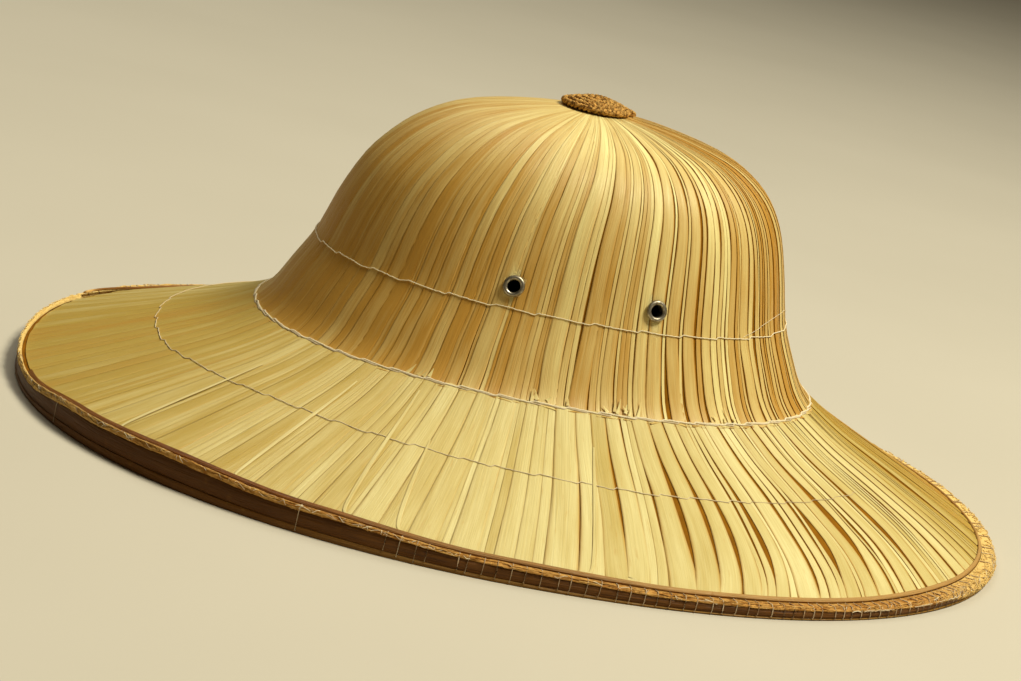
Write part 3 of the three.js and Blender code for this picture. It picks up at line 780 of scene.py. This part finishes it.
# A few narrow slivers stray across their neighbours. Columns: turn at the waist and at the rim in
# degrees, and the rows they start and end on.
BRIM_SLIVERS = [(-111.5, -107.5, 1.0, 3.6), (-117, -113.4, 1.05, 4.6), (-128, -126.6, 1.3, 4.4),
                (-86, -89.5, 1.0, 4.2), (-146, -143.5, 1.2, 4.0), (72, 75, 1.2, 4.5)]
for waist_turn, rim_turn, low, high in BRIM_SLIVERS:
    def sliver_way(share):
        row = between(low, high, share)
        angle = math.radians(between(rim_turn, waist_turn, (row - 1) / (BRIM_TOP_ROW - 1)))
        return (angle, row, between(0.55, 0.75, math.sin(math.pi * share)),
                between(0.25, 0.85, math.sin(math.pi * (0.1 + 0.85 * share))))

    brim_lines.append(sliver_line(brim_point, BRIM_TOP_ROW, BRIM_STRIP_STEPS, sliver_way,
                                  0.35, waist_turn % 50, 0.6))
brim_leaves = sweep_lines("brim_leaves", brim_lines, brim_leaf, STRIP_SIDES, STRIP_THICKNESS, STRIP_CUP)
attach(brim_leaves, "root")
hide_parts("brim")

# Eyelets. Four rolled nickel rings vent the crown, two on each long side. Each is pressed through the
# leaf, with a rounded flange outside and a clinched skirt inside.
EYELET_BORE = 2.3 * MM
EYELET_BARREL = 3.1 * MM
EYELET_FLANGE = 4.15 * MM
EYELET_CLINCH = 4.0 * MM
EYELET_SEAT = 1.1 * MM
EYELET_ROLL = 0.55 * MM
EYELET_DEPTH = 2.4 * MM
EYELET_SPACING = 54.6 * MM
EYELET_HEIGHT = 82.2 * MM
EYELET_SIDES = 56
FLANGE_STEPS = 8
FLANGE_HEIGHT = 0.88 * MM
DRILL_SIDES = 32
DRILL_DEPTH = 9 * MM
EYELET_HOLE = 3.4 * MM
HALVINGS = 30
SEAT_STEPS = 12


def crown_row_at(height):
    """The crown's row at a height, found by halving."""
    low, high = 0.0, float(CROWN_TOP_ROW)
    for _ in range(HALVINGS):
        middle = (low + high) / 2
        low, high = (middle, high) if smooth_pick(crown_table, middle)[3] < height else (low, middle)
    return low


def eyelet_seat(x, side):
    row = crown_row_at(EYELET_HEIGHT)
    angle = side * math.acos(x / THREAD_HALF_LENGTH)
    for _ in range(SEAT_STEPS):
        point, across, _, _, stretch = surface_frame(crown_point, angle, row, CROWN_TOP_ROW)
        angle += (x - point.x) / (across.x * stretch)
    point, across, along, normal, _ = surface_frame(crown_point, angle, row, CROWN_TOP_ROW)
    return point, across, along, normal


def close_mesh(shape, name, material):
    """Turns the faces of a closed shape outward, and gives it back as a mesh with its material."""
    bmesh.ops.recalc_face_normals(shape, faces=shape.faces)
    mesh = bpy.data.meshes.new(name)
    shape.to_mesh(mesh)
    shape.free()
    mesh.materials.append(material)
    return mesh


def turned_ring(name, profile, seat, material):
    """Turns a closed profile of radius and height round the seat's outward direction."""
    point, across, along, normal = seat
    ring = bmesh.new()
    loops = []
    for turn in even_turns(EYELET_SIDES):
        way = across * math.cos(turn) + along * math.sin(turn)
        loops.append([ring.verts.new(point + way * radius + normal * height) for radius, height in profile])
    for loop, after in zip(loops, loops[1:] + loops[:1]):
        for j in range(len(profile)):
            i = (j + 1) % len(profile)
            ring.faces.new((loop[j], after[j], after[i], loop[i]))
    for face in ring.faces:
        face.smooth = True
    return link_object(name, close_mesh(ring, name, material))


nickel, tree, shader = new_material("dull_nickel", Metallic=1.0)
tarnish = add_grain(tree, object_place(tree), (700, 700, 700), 4.0, 0.35, 0.7)
set_look(tree, shader, blend_colours(tree, tarnish, (0.46, 0.42, 0.33, 1), (0.17, 0.13, 0.08, 1)),
         roughness=spread(tree, tarnish, 0.0, 1.0, 0.34, 0.6))

seats = [eyelet_seat(end * EYELET_SPACING / 2, side) for side in (-1, 1) for end in (-1, 1)]
ring_middle = (EYELET_BORE + EYELET_FLANGE) / 2
ring_half = (EYELET_FLANGE - EYELET_BORE) / 2
eyelet_profile = [(EYELET_BORE, -EYELET_DEPTH), (EYELET_CLINCH, -EYELET_DEPTH),
                  (EYELET_CLINCH + 0.2 * MM, -EYELET_DEPTH + EYELET_ROLL / 2),
                  (EYELET_CLINCH, -EYELET_DEPTH + EYELET_ROLL), (EYELET_BARREL, -EYELET_DEPTH + EYELET_ROLL),
                  (EYELET_BARREL, EYELET_SEAT)]
for step in range(FLANGE_STEPS + 1):
    turn = math.pi * step / FLANGE_STEPS
    eyelet_profile.append((ring_middle + ring_half * math.cos(turn),
                           EYELET_SEAT + FLANGE_HEIGHT * math.sin(turn)))
for number, seat in enumerate(seats, 1):
    eyelet = turned_ring(f"eyelet_ring_{number}", eyelet_profile, seat, nickel)
    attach(eyelet, "root")
    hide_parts(f"eyelet_{number}")

drill = bmesh.new()
for point, across, along, normal in seats:
    stand = Matrix((across, along, normal)).transposed().to_4x4()
    bmesh.ops.create_cone(drill, cap_ends=True, segments=DRILL_SIDES, radius1=EYELET_HOLE,
                          radius2=EYELET_HOLE, depth=DRILL_DEPTH, matrix=Matrix.Translation(point) @ stand)
drill_mesh = bpy.data.meshes.new("drill")
drill.to_mesh(drill_mesh)
drill.free()
drill_object = link_object("drill", drill_mesh)
for piece in (crown_shell, crown_leaves):
    cut = piece.modifiers.new("cut", "BOOLEAN")
    cut.solver = "MANIFOLD"
    cut.operation = "DIFFERENCE"
    cut.object = drill_object
    evaluated = piece.evaluated_get(bpy.context.evaluated_depsgraph_get())
    bored = bpy.data.meshes.new_from_object(evaluated)
    piece.modifiers.remove(cut)
    bored.name = piece.name
    piece.data = bored
bpy.data.objects.remove(drill_object)

# Knob. A cord of two twisted bark strands is coiled flat over a small dome and sewn to the crown's top,
# where it hides the ends of the leaf strips.
BUTTON_SHIFT = 3 * MM
BUTTON_RADIUS = 15.8 * MM
BUTTON_HEIGHT = 5 * MM
BUTTON_SEAT = CROWN_HEIGHT + CLEARANCE
COIL_PITCH = 2.5 * MM
COIL_CORD = 1.2 * MM
COIL_EDGE_LIFT = 0.1 * MM
PLY_RADIUS = 0.84 * MM
PLY_OFFSET = 0.62 * MM
TWIST_PITCH = 4.0 * MM
COIL_STEP = 0.42 * MM
COIL_EYE = 0.8 * MM
COIL_AHEAD = 0.01
KNOB_HAIRS = 260
HAIR_TURNS = 4.68 * 2 * math.pi
HAIR_SIDES = 4
CORD_SIDES = 7
HAIR_RADII = [0.11 * MM, 0.09 * MM, 0.03 * MM]
HAIR_LENGTH = 2.0 * MM
HAIR_SEAT = 0.8 * MM
CORE_SIDES = 40
# Columns: share of the knob's radius and of its height.
CORE_PROFILE = [(0.8, 0.0), (0.8, 0.1), (0.6, 0.35), (0.3, 0.62)]


def coil_point(turn, lift=0.0):
    radius = BUTTON_RADIUS - COIL_CORD - COIL_PITCH * turn / (2 * math.pi)
    height = between(BUTTON_HEIGHT - COIL_CORD / 2, COIL_EDGE_LIFT, (radius / BUTTON_RADIUS) ** 1.35)
    return Vector((BUTTON_SHIFT + radius * math.cos(turn), radius * math.sin(turn),
                   BUTTON_SEAT + height + lift))


bark_cord, tree, shader = new_material("bark_cord", Roughness=0.9, Specular_IOR_Level=0.1)
bark = add_grain(tree, object_place(tree), (800, 800, 800), 4.0, 0.35, 0.62)
patch = add_grain(tree, object_place(tree), (260, 260, 260), 2.0, 0.4, 0.65)
shade = blend_colours(tree, bark, (0.11, 0.04, 0.006, 1), (0.72, 0.39, 0.10, 1))
set_look(tree, shader, blend_colours(tree, spread(tree, patch, 0.0, 1.0, 0.0, 0.55), shade,
                                     (0.70, 0.43, 0.13, 1)), bark, 0.4 * MM)

up = Vector((0, 0, 1))


def upright_line(points, radii, tone, grain):
    """A guide line for a thread or a fibre, which is round and has no edge stain or painted edge shade."""
    return points, [up] * len(points), radii, tone, grain, 0


draw = random.Random(23)
cord_lines = []
for ply in range(2):
    points, turn, travelled = [], 0.0, 0.0
    while COIL_PITCH * turn / (2 * math.pi) < BUTTON_RADIUS - COIL_CORD - COIL_EYE:
        here = coil_point(turn)
        ahead = (coil_point(turn + COIL_AHEAD) - here).normalized()
        side = ahead.cross(up).normalized()
        twist = 2 * math.pi * travelled / TWIST_PITCH + ply * math.pi
        points.append(here + (side * math.cos(twist) + up * math.sin(twist)) * PLY_OFFSET)
        radius = max((here - Vector((BUTTON_SHIFT, 0, here.z))).length, MM)
        turn += COIL_STEP / radius
        travelled += COIL_STEP
    cord_lines.append(upright_line(points, [PLY_RADIUS * draw.uniform(0.78, 1.1) for _ in points],
                                   0.5, ply * 9.0))
knob_coil = sweep_lines("knob_coil", cord_lines, bark_cord, CORD_SIDES)
hair_lines = []
for _ in range(KNOB_HAIRS):
    start = coil_point(draw.uniform(0, HAIR_TURNS), HAIR_SEAT)
    way = Vector((draw.uniform(-1, 1), draw.uniform(-1, 1), draw.uniform(0.0, 0.35)))
    bend = Vector((draw.uniform(-1, 1), draw.uniform(-1, 1), -0.3))
    points = [start + way * share * HAIR_LENGTH + bend * share * share * MM for share in (0, 0.4, 0.8)]
    hair_lines.append(upright_line(points, HAIR_RADII, 0.8, draw.uniform(0, 9)))
knob_hairs = sweep_lines("knob_hairs", hair_lines, bark_cord, HAIR_SIDES)
dome = bmesh.new()
rings = [[dome.verts.new((BUTTON_SHIFT + BUTTON_RADIUS * radius * math.cos(turn),
                          BUTTON_RADIUS * radius * math.sin(turn), BUTTON_SEAT + BUTTON_HEIGHT * height))
          for turn in even_turns(CORE_SIDES)] for radius, height in CORE_PROFILE]
for lower, upper in zip(rings, rings[1:]):
    for k in range(CORE_SIDES):
        n = (k + 1) % CORE_SIDES
        dome.faces.new((lower[k], lower[n], upper[n], upper[k]))
dome.faces.new(rings[-1])
dome.faces.new(rings[0][::-1])
knob_core = link_object("knob_core", close_mesh(dome, "knob_core", under_leaf))
for piece in (knob_coil, knob_hairs, knob_core):
    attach(piece, "root")
    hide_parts("crown_button")

# Rim hoop. Two strips of stained bamboo, the lower one lighter, are bent round under the leaf edge and
# lashed to it. The hat rests on them.
HOOP_THICKNESS = 2.2 * MM
LOWER_SHARE = 0.36
# Columns: turn in degrees from +X, and how far the upper strip laps over the packing, in millimetres.
HOOP_LIPS = [(-180, 0.9), (-125, 1.0), (-105, 2.0), (-65, 2.0), (-35, 1.3), (-15, 1.1), (90, 1.2),
             (180, 0.9)]
HOOP_LIP_DEPTH = 0.95 * MM
RIM_STEPS = 420


def make_rim_bar(name, section, angles, closed, material, stations):
    """A bar that follows the rim. The section gives insets from the rim's outer face, and heights. The
    stations give its tone round the hat."""
    positions, faces, tones, places = [], [], [], []
    run = 0.0
    for angle in angles:
        corners = section(angle)
        for inset, z in corners:
            positions.append(rim_point(angle, inset, z))
            tones.append(read_stations(stations, angle))
            places += [inset / MM, run / MM, z / MM]
        run += (RIM_HALF_LENGTH + RIM_HALF_WIDTH) / 2 * (angles[1] - angles[0])
    count = len(corners)
    for i in range(len(angles) if closed else len(angles) - 1):
        n = (i + 1) % len(angles)
        for j in range(count):
            m = (j + 1) % count
            faces.append((i * count + j, i * count + m, n * count + m, n * count + j))
    if not closed:
        last = (len(angles) - 1) * count
        faces += [tuple(range(count)), tuple(range(last + count - 1, last - 1, -1))]
    mesh = bpy.data.meshes.new(name)
    mesh.from_pydata(positions, [], faces)
    mesh.attributes.new("tone", "FLOAT", "POINT").data.foreach_set("value", tones)
    mesh.attributes.new("strip_place", "FLOAT_VECTOR", "POINT").data.foreach_set("vector", places)
    shape = bmesh.new()
    shape.from_mesh(mesh)
    mesh = close_mesh(shape, name, material)
    mesh.polygons.foreach_set("use_smooth", [True] * len(mesh.polygons))
    return link_object(name, mesh)


# Bamboo with long streaks, darker or lighter where the tone on its mesh says so.
bamboo_group, given = new_group("bamboo_skin", "ShaderNodeTree", [
    ("Dark", "Color"), ("Light", "Color"), ("Stained", "Color")], LOOK_OUTPUTS)
tree = bamboo_group
streak = add_grain(tree, read_mark(tree, "strip_place", "Vector"), (2.5, 0.06, 2.5), 5.0, 0.3, 0.7)
worn = add_grain(tree, object_place(tree), (260, 260, 260), 4.0, 0.62, 0.75)
colour = blend_colours(tree, streak, given["Dark"], given["Light"])
colour = blend_colours(tree, read_mark(tree, "tone"), colour, given["Stained"])
colour = blend_colours(tree, spread(tree, worn, 0.0, 1.0, 0.0, 0.35), colour, given["Light"])
add_node(tree, "NodeGroupOutput", {
    "Color": colour, "Roughness": spread(tree, streak, 0.0, 1.0, 0.3, 0.5), "Height": streak})
STREAK_DEPTH = 0.2 * MM


def hoop_top(angle):
    return leaf_top(angle, LEAF_END) - LEAF_WALL - CLEARANCE


def lower_hoop_section(angle):
    top = LOWER_SHARE * hoop_top(angle)
    return [(0.25 * MM, 0), (0, 0.4 * MM), (-0.1 * MM, top / 2), (0, top - 0.2 * MM), (0.3 * MM, top),
            (HOOP_THICKNESS, top), (HOOP_THICKNESS, 0)]


def upper_hoop_section(angle):
    foot, top = LOWER_SHARE * hoop_top(angle), hoop_top(angle)
    lip = top + read_stations(HOOP_LIPS, angle) * MM
    return [(0.6 * MM, foot), (0.3 * MM, foot + 0.25 * MM), (0.1 * MM, (foot + lip) / 2),
            (0.3 * MM, lip - 0.3 * MM), (0.6 * MM, lip), (HOOP_LIP_DEPTH, lip - 0.1 * MM),
            (HOOP_LIP_DEPTH, top), (HOOP_THICKNESS, top), (HOOP_THICKNESS, foot)]


dark_hoop = look_material("dark_hoop", bamboo_group, {
    "Dark": (0.062, 0.021, 0.003, 1), "Light": (0.21, 0.082, 0.012, 1), "Stained": (0.10, 0.036, 0.005, 1)},
    STREAK_DEPTH, Specular_IOR_Level=0.18)
olive_hoop = look_material("olive_hoop", bamboo_group, {
    "Dark": (0.16, 0.075, 0.012, 1), "Light": (0.32, 0.17, 0.035, 1), "Stained": (0.15, 0.055, 0.008, 1)},
    STREAK_DEPTH, Specular_IOR_Level=0.18)
round_angles = [turn - math.pi for turn in even_turns(RIM_STEPS)]
# Columns: turn in degrees from +X, and how dark the stain is there.
STAIN_STATIONS = [(-180, 0.9), (-125, 0.85), (-105, 0.25), (-60, 0.0), (90, 0.1), (150, 0.8), (180, 0.9)]
for name, section, material in (("rim_hoop_lower", lower_hoop_section, olive_hoop),
                                ("rim_hoop_upper", upper_hoop_section, dark_hoop)):
    hoop = make_rim_bar(name, section, round_angles, True, material, STAIN_STATIONS)
    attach(hoop, "root")
    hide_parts("rim_hoop")

# Packing. A roll of soft tan bark fibre covers the cut leaf ends between the hoop and the splint. Its
# loose fibres lie along the rim and fray at both ends of the hat.
SPLINT_FROM = 0.02
PACKING_GAP = 1.7 * MM
PACKING_HEIGHT = 1.1 * MM
PACKING_FRAYED_HEIGHT = 1.8 * MM
PACKING_BUMP = 0.25 * MM
BUMPS_ROUND = 40
PACKING_FIBRES = 1700
FIBRE_STEPS = 5
FIBRE_SIDES = 5
FIBRE_TAPER = (0.6, 1, 1, 1, 0.8, 0.3)
FIBRE_RADIUS = 0.17 * MM
# Columns: turn in degrees from +X, and how golden and frayed the fibre is there.
FRAY_STATIONS = [(-180, 1), (-163, 0.5), (-130, 0.05), (-50, 0.05), (-28, 0.8), (15, 1), (60, 0.3),
                 (125, 0.3), (145, 1), (180, 1)]
# Columns: turn in degrees from +X, and how far the fibre hangs down over the hoop.
HANG_STATIONS = [(-180, 0), (-58, 0), (-45, 0.3), (-30, 0.8), (-20, 1), (12, 1), (40, 0.4), (60, 0),
                 (180, 0)]


def packing_section(angle):
    leaf_face = band_inset(angle, LEAF_END) - CLEARANCE
    start = SPLINT_FROM + PACKING_GAP / band_width(angle)
    inside = band_inset(angle, start)
    foot = hoop_top(angle) + 0.1 * MM
    lip = (read_stations(HOOP_LIPS, angle) + 0.2) * MM
    rise = between(PACKING_HEIGHT, PACKING_FRAYED_HEIGHT, read_stations(FRAY_STATIONS, angle))
    crest = leaf_top(angle, LEAF_END) + rise
    hang = read_stations(HANG_STATIONS, angle)
    bump = PACKING_BUMP * waver(math.cos(angle) * BUMPS_ROUND, math.sin(angle) * BUMPS_ROUND, 1)
    shoulder = leaf_top(angle, 1) + CLEARANCE
    return [(between(HOOP_LIP_DEPTH + 0.1 * MM, -0.5 * MM, hang), between(foot, 0.3 * foot, hang)),
            (between(0.3 * MM, -0.7 * MM, hang) + bump, between(foot + lip, foot, hang)),
            (0.25 * MM - bump, shoulder + 0.35 * rise), (0.6 * leaf_face, crest - 0.15 * MM + bump),
            (leaf_face, crest + bump), (inside - 0.4 * MM, crest - 0.35 * MM),
            (inside, leaf_top(angle, start) + 0.15 * rise), (inside, leaf_top(angle, start) + CLEARANCE / 2),
            (leaf_face, leaf_top(angle, LEAF_END) + CLEARANCE), (leaf_face, foot)]


def packing_spot(angle, corner):
    """The inset and height at a place between two corners of the packing's section."""
    corners = packing_section(angle)
    return [between(a, b, corner % 1) for a, b in zip(corners[int(corner)], corners[int(corner) + 1])]


# Soft bark fibre. The tone on each strand turns it from tan to golden.
packing_fibre, tree, shader = new_material("packing_fibre", Roughness=0.8, Specular_IOR_Level=0.15)
clump = add_grain(tree, object_place(tree), (420, 420, 420), 5.0, 0.25, 0.65)
colour = blend_colours(tree, spread(tree, clump, 0.2, 1.0), (0.32, 0.12, 0.014, 1), (0.60, 0.32, 0.08, 1))
colour = blend_colours(tree, read_mark(tree, "tone"), colour, (0.80, 0.57, 0.20, 1))
colour = blend_colours(tree, spread(tree, clump, 0.0, 0.4, 0.3, 0.0), colour, (0.18, 0.065, 0.012, 1))
set_look(tree, shader, colour, clump, 0.4 * MM)

packing_roll = make_rim_bar("packing_roll", packing_section, round_angles, True, packing_fibre, FRAY_STATIONS)
draw = random.Random(37)
fibre_lines = []
for _ in range(PACKING_FIBRES):
    angle = draw.uniform(-math.pi, math.pi)
    fray = read_stations(FRAY_STATIONS, angle)
    length = draw.uniform(4, 12) * MM / RIM_HALF_LENGTH
    spot = draw.uniform(0.6, 5.2)
    loose = fray * (draw.random() < 0.5)
    points = []
    for step in range(FIBRE_STEPS + 1):
        share = step / FIBRE_STEPS
        here = angle + length * share * (1 - 0.5 * loose)
        corner = max(0.4, min(5.4, spot + draw.uniform(-0.4, 0.4) - 0.9 * loose * share))
        inset, z = packing_spot(here, corner)
        proud = (0.15 + 0.5 * loose * share) * MM
        points.append(rim_point(here, inset - proud, z + 0.12 * MM + 0.5 * proud))
    radius = FIBRE_RADIUS * draw.uniform(0.6, 1.3)
    fibre_lines.append(upright_line(points, [radius * share for share in FIBRE_TAPER],
                                    min(1, fray + draw.uniform(-0.2, 0.3)), draw.uniform(0, 9)))
packing_strands = sweep_lines("packing_strands", fibre_lines, packing_fibre, FIBRE_SIDES)
for piece in (packing_roll, packing_strands):
    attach(piece, "root")
    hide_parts("rim_packing")

# Splint. One thin strip of split bamboo is laid on the leaf edge and sewn down with the rest. Its ends
# don't meet at the left: the far one springs up and shows its pale cut.
SPLINT_HEIGHT = 1.0 * MM
SPLINT_START = math.radians(-169)
SPLINT_END = math.radians(153)
SPLINT_TIP_LIFT = 2.2 * MM
SPLINT_TIP_TURN = math.radians(16)
SPLINT_ROUND = 0.35 * MM
# Columns: turn in degrees from +X, and the splint's width in millimetres.
SPLINT_WIDTHS = [(-180, 1.75), (-115, 1.75), (-92, 1.45), (180, 1.45)]
SPLINT_STEPS = 380


def splint_section(angle):
    t = max(0, min(1, (angle - SPLINT_END + SPLINT_TIP_TURN) / SPLINT_TIP_TURN))
    lift = CLEARANCE * 0.3 + SPLINT_TIP_LIFT * t * t * (3 - 2 * t)
    end = SPLINT_FROM + read_stations(SPLINT_WIDTHS, angle) * MM / band_width(angle)
    outside, inside = band_inset(angle, end), band_inset(angle, SPLINT_FROM)
    low, high = leaf_top(angle, end) + lift, leaf_top(angle, SPLINT_FROM) + lift
    return [(outside, low), (outside, low + SPLINT_HEIGHT - SPLINT_ROUND),
            (outside + SPLINT_ROUND, low + SPLINT_HEIGHT), (inside - SPLINT_ROUND, high + SPLINT_HEIGHT),
            (inside, high + SPLINT_HEIGHT - SPLINT_ROUND), (inside, high)]


split_bamboo = look_material("split_bamboo", bamboo_group, {
    "Dark": (0.09, 0.025, 0.003, 1), "Light": (0.23, 0.08, 0.01, 1), "Stained": (0.76, 0.47, 0.16, 1)},
    STREAK_DEPTH, Specular_IOR_Level=0.18)
# Columns: turn in degrees from +X, and how pale the splint is there.
PALE_STATIONS = [(-180, 0.05), (-125, 0.0), (-95, 0.25), (-75, 0.5), (0, 0.6), (90, 0.3), (144, 0.1),
                 (150, 0.15), (152, 1), (180, 1)]
splint_angles = [between(SPLINT_START, SPLINT_END, k / SPLINT_STEPS) for k in range(SPLINT_STEPS + 1)]
splint = make_rim_bar("splint_strip", splint_section, splint_angles, False, split_bamboo, PALE_STATIONS)
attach(splint, "root")
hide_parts("rim_splint")

# Lashing. One waxed thread is stitched over the packing and the hoop all round the rim. Toward the right
# end its loops lock along the top edge, and at the left it is crossed and frayed.
LASHING_COUNT = 262
LASHING_RADIUS = 0.21 * MM
LASHING_SIDES = 6
LASHING_PROUD = 0.3 * MM
# Columns: corner of the packing's section, and how far the thread stands off it, inward and upward.
LASHING_WAY = [(7, 0.2 * MM, 0), (6, 0.2 * MM, 0), (5, 0, LASHING_PROUD), (4, 0, LASHING_PROUD),
               (3, 0, LASHING_PROUD), (2, -LASHING_PROUD, 0), (1, -LASHING_PROUD, 0)]
# Columns: turn in degrees from +X, and how many of the lashings show there.
LASHING_STATIONS = [(-180, 0.04), (-125, 0.08), (-108, 0.55), (-98, 1), (-45, 1), (-28, 0.35), (30, 0.35),
                    (60, 1), (130, 0.5), (180, 0.04)]

sewing_thread, tree, shader = new_material("sewing_thread", Roughness=0.75)
place = read_mark(tree, "strip_place", "Vector")
twist = add_node(tree, "ShaderNodeTexWave", {"Vector": place, "Scale": 1.6, "Distortion": 1.0},
                 bands_direction="DIAGONAL").outputs["Fac"]
colour = blend_colours(tree, read_mark(tree, "tone"), (1.0, 0.88, 0.60, 1), (0.44, 0.27, 0.13, 1))
set_look(tree, shader, colour, twist, 0.1 * MM)


def lashing_path(angle, slant, reach):
    """From inside the packing, over it and down the hoop, as far as the reach."""
    corners = packing_section(angle)
    top = hoop_top(angle)
    low = between(top, 0.3 * MM, reach)
    path = [(corners[k][0] + dx, corners[k][1] + dz) for k, dx, dz in LASHING_WAY]
    path += [(-LASHING_PROUD, top), (-LASHING_PROUD, low), (0.05 * MM, low)]
    return [rim_point(angle + slant * step / len(path), inset, z) for step, (inset, z) in enumerate(path)]


draw = random.Random(53)
thread_lines = []
for number in range(LASHING_COUNT):
    angle = 2 * math.pi * (number + draw.uniform(-0.16, 0.16)) / LASHING_COUNT - math.pi
    if draw.random() > read_stations(LASHING_STATIONS, angle):
        continue
    points = lashing_path(angle, draw.uniform(-0.007, 0.001), draw.uniform(0.55, 0.95))
    thread_lines.append(upright_line(points, [LASHING_RADIUS] * len(points), draw.uniform(0.55, 1),
                                     draw.uniform(0, 9)))
LOOSE_ENDS = 560
LOOSE_END_STEPS = 4
LOOSE_END_PROUD = 0.22 * MM
# Columns: turn in degrees from +X, and how many of the loose ends lie there.
LOOSE_END_STATIONS = [(-180, 1), (-112, 1), (-95, 0.25), (-50, 0.25), (-25, 0.5), (90, 0.5), (180, 1)]
for _ in range(LOOSE_ENDS):
    angle = draw.uniform(-math.pi, math.pi)
    if draw.random() > read_stations(LOOSE_END_STATIONS, angle):
        continue
    length = draw.uniform(-5, 5) * MM / RIM_HALF_LENGTH
    low, high = draw.uniform(0.9, 2.6), draw.uniform(2.6, 5)
    points = []
    for step in range(LOOSE_END_STEPS + 1):
        here = angle + length * step / LOOSE_END_STEPS
        inset, z = packing_spot(here, between(low, high, step / LOOSE_END_STEPS))
        points.append(rim_point(here, inset - LOOSE_END_PROUD, z + LOOSE_END_PROUD))
    radius = draw.uniform(0.1, 0.2) * MM
    thread_lines.append(upright_line(points, [radius] * len(points), draw.uniform(0, 1),
                                     draw.uniform(0, 9)))
LOCKED_LOOPS = 110
LOOP_STEPS = 6
LOOP_RADIUS = 0.2 * MM
LOOP_PROUD = 0.35 * MM
LOOP_SAG = 0.8
for _ in range(LOCKED_LOOPS):
    angle = math.radians(draw.uniform(-60, 60))
    points = []
    for step in range(LOOP_STEPS + 1):
        here = angle + step / LOOP_STEPS * 2 * math.pi / LASHING_COUNT
        corners = packing_section(here)
        sag = between(corners[2][1], corners[1][1], LOOP_SAG * math.sin(math.pi * step / LOOP_STEPS))
        points.append(rim_point(here, corners[2][0] - LOOP_PROUD, sag))
    thread_lines.append(upright_line(points, [LOOP_RADIUS] * len(points), draw.uniform(0.3, 0.9),
                                     draw.uniform(0, 9)))
rim_lashing = sweep_lines("rim_lashing", thread_lines, sewing_thread, LASHING_SIDES)
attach(rim_lashing, "root")

# Seam threads. Rows of thread hold the strips down: a thin one round the crown with a loose end above it at
# the right, two thick ones at the seam between crown and brim, and a very thin one across the brim.
THREAD_POINTS = 1400
THREAD_SIDES = 7
LAP_RISE = 1.25
STITCH_RETURN = 0.9
MID_BRIM_ROW = 3.4
THREAD_ROW = crown_row_at(THREAD_HEIGHT)
ARCH_START = 48
ARCH_LENGTH = 50
THREAD_UNEVEN = 0.036 * MM


def thread_ring(place, row, arch, lift, radius, jag_length, jag, phase, tone, first, last, rng):
    """A thread that goes round on a leaf surface, a little lower at each stitch."""
    surface, lay, top_row = place
    points, normals, run = [], [], 0.0
    for i in range(THREAD_POINTS + 1):
        angle = math.radians(between(first, last, i / THREAD_POINTS))
        arched = arch * math.sin(math.pi * (math.degrees(angle) + ARCH_START) / ARCH_LENGTH)
        point, _, along, normal, stretch = surface_frame(surface, angle, row + arched, top_row)
        run += stretch * math.radians(last - first) / THREAD_POINTS
        stitch = (run / (jag_length * MM) + phase + 0.3 * waver(angle * 9, phase, 0)) % 1
        slide = 0.5 - stitch if stitch < STITCH_RETURN else 9 * (stitch - STITCH_RETURN) - 0.4
        slide = jag * MM * (slide + 0.2 * waver(angle * 60, phase, 2))
        rise = (lift + LAP_RISE * read_stations(lay, angle)) * MM
        points.append(point + along * slide + normal * (rise + THREAD_UNEVEN * rng.uniform(-1, 1)))
        normals.append(normal)
    return points, normals, [radius * MM * rng.uniform(0.92, 1.05) for _ in points], tone, phase, 0


on_crown = (crown_point, CROWN_LAY, CROWN_TOP_ROW)
on_brim = (brim_point, BRIM_LAY, BRIM_TOP_ROW)
# Columns: the surface, the row, how many rows the thread arches up, its lift and radius, the length and the
# depth of its stitches, all in millimetres, their phase, its tone, and the turns where it starts and ends.
THREADS = [
    (on_crown, THREAD_ROW, 0, 0.42, 0.21, 18, 1.0, 0.2, 0.05, -180, 180),
    (on_crown, 0.85, 0, 0.45, 0.36, 13, 0.9, 0.6, 0.1, -180, 180),
    (on_crown, 0.72, 0, 0.4, 0.3, 9, 0.8, 0.1, 0.45, -180, 180),
    (on_brim, MID_BRIM_ROW, 0, 0.38, 0.17, 15, 1.3, 0.4, 0.3, -180, -64),
    (on_brim, MID_BRIM_ROW, 0, 0.3, 0.11, 15, 0.9, 0.7, 0.6, -64, -36),
    (on_brim, MID_BRIM_ROW, 0, 0.38, 0.15, 15, 1.3, 0.4, 0.4, 45, 180),
    (on_crown, THREAD_ROW, 0.42, 0.35, 0.1, 22, 0.5, 0.3, 0.15, -47, 1),
]
draw = random.Random(71)
seam_lines = [thread_ring(*thread, draw) for thread in THREADS]
seam_threads = sweep_lines("seam_threads", seam_lines, sewing_thread, THREAD_SIDES)
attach(seam_threads, "root")
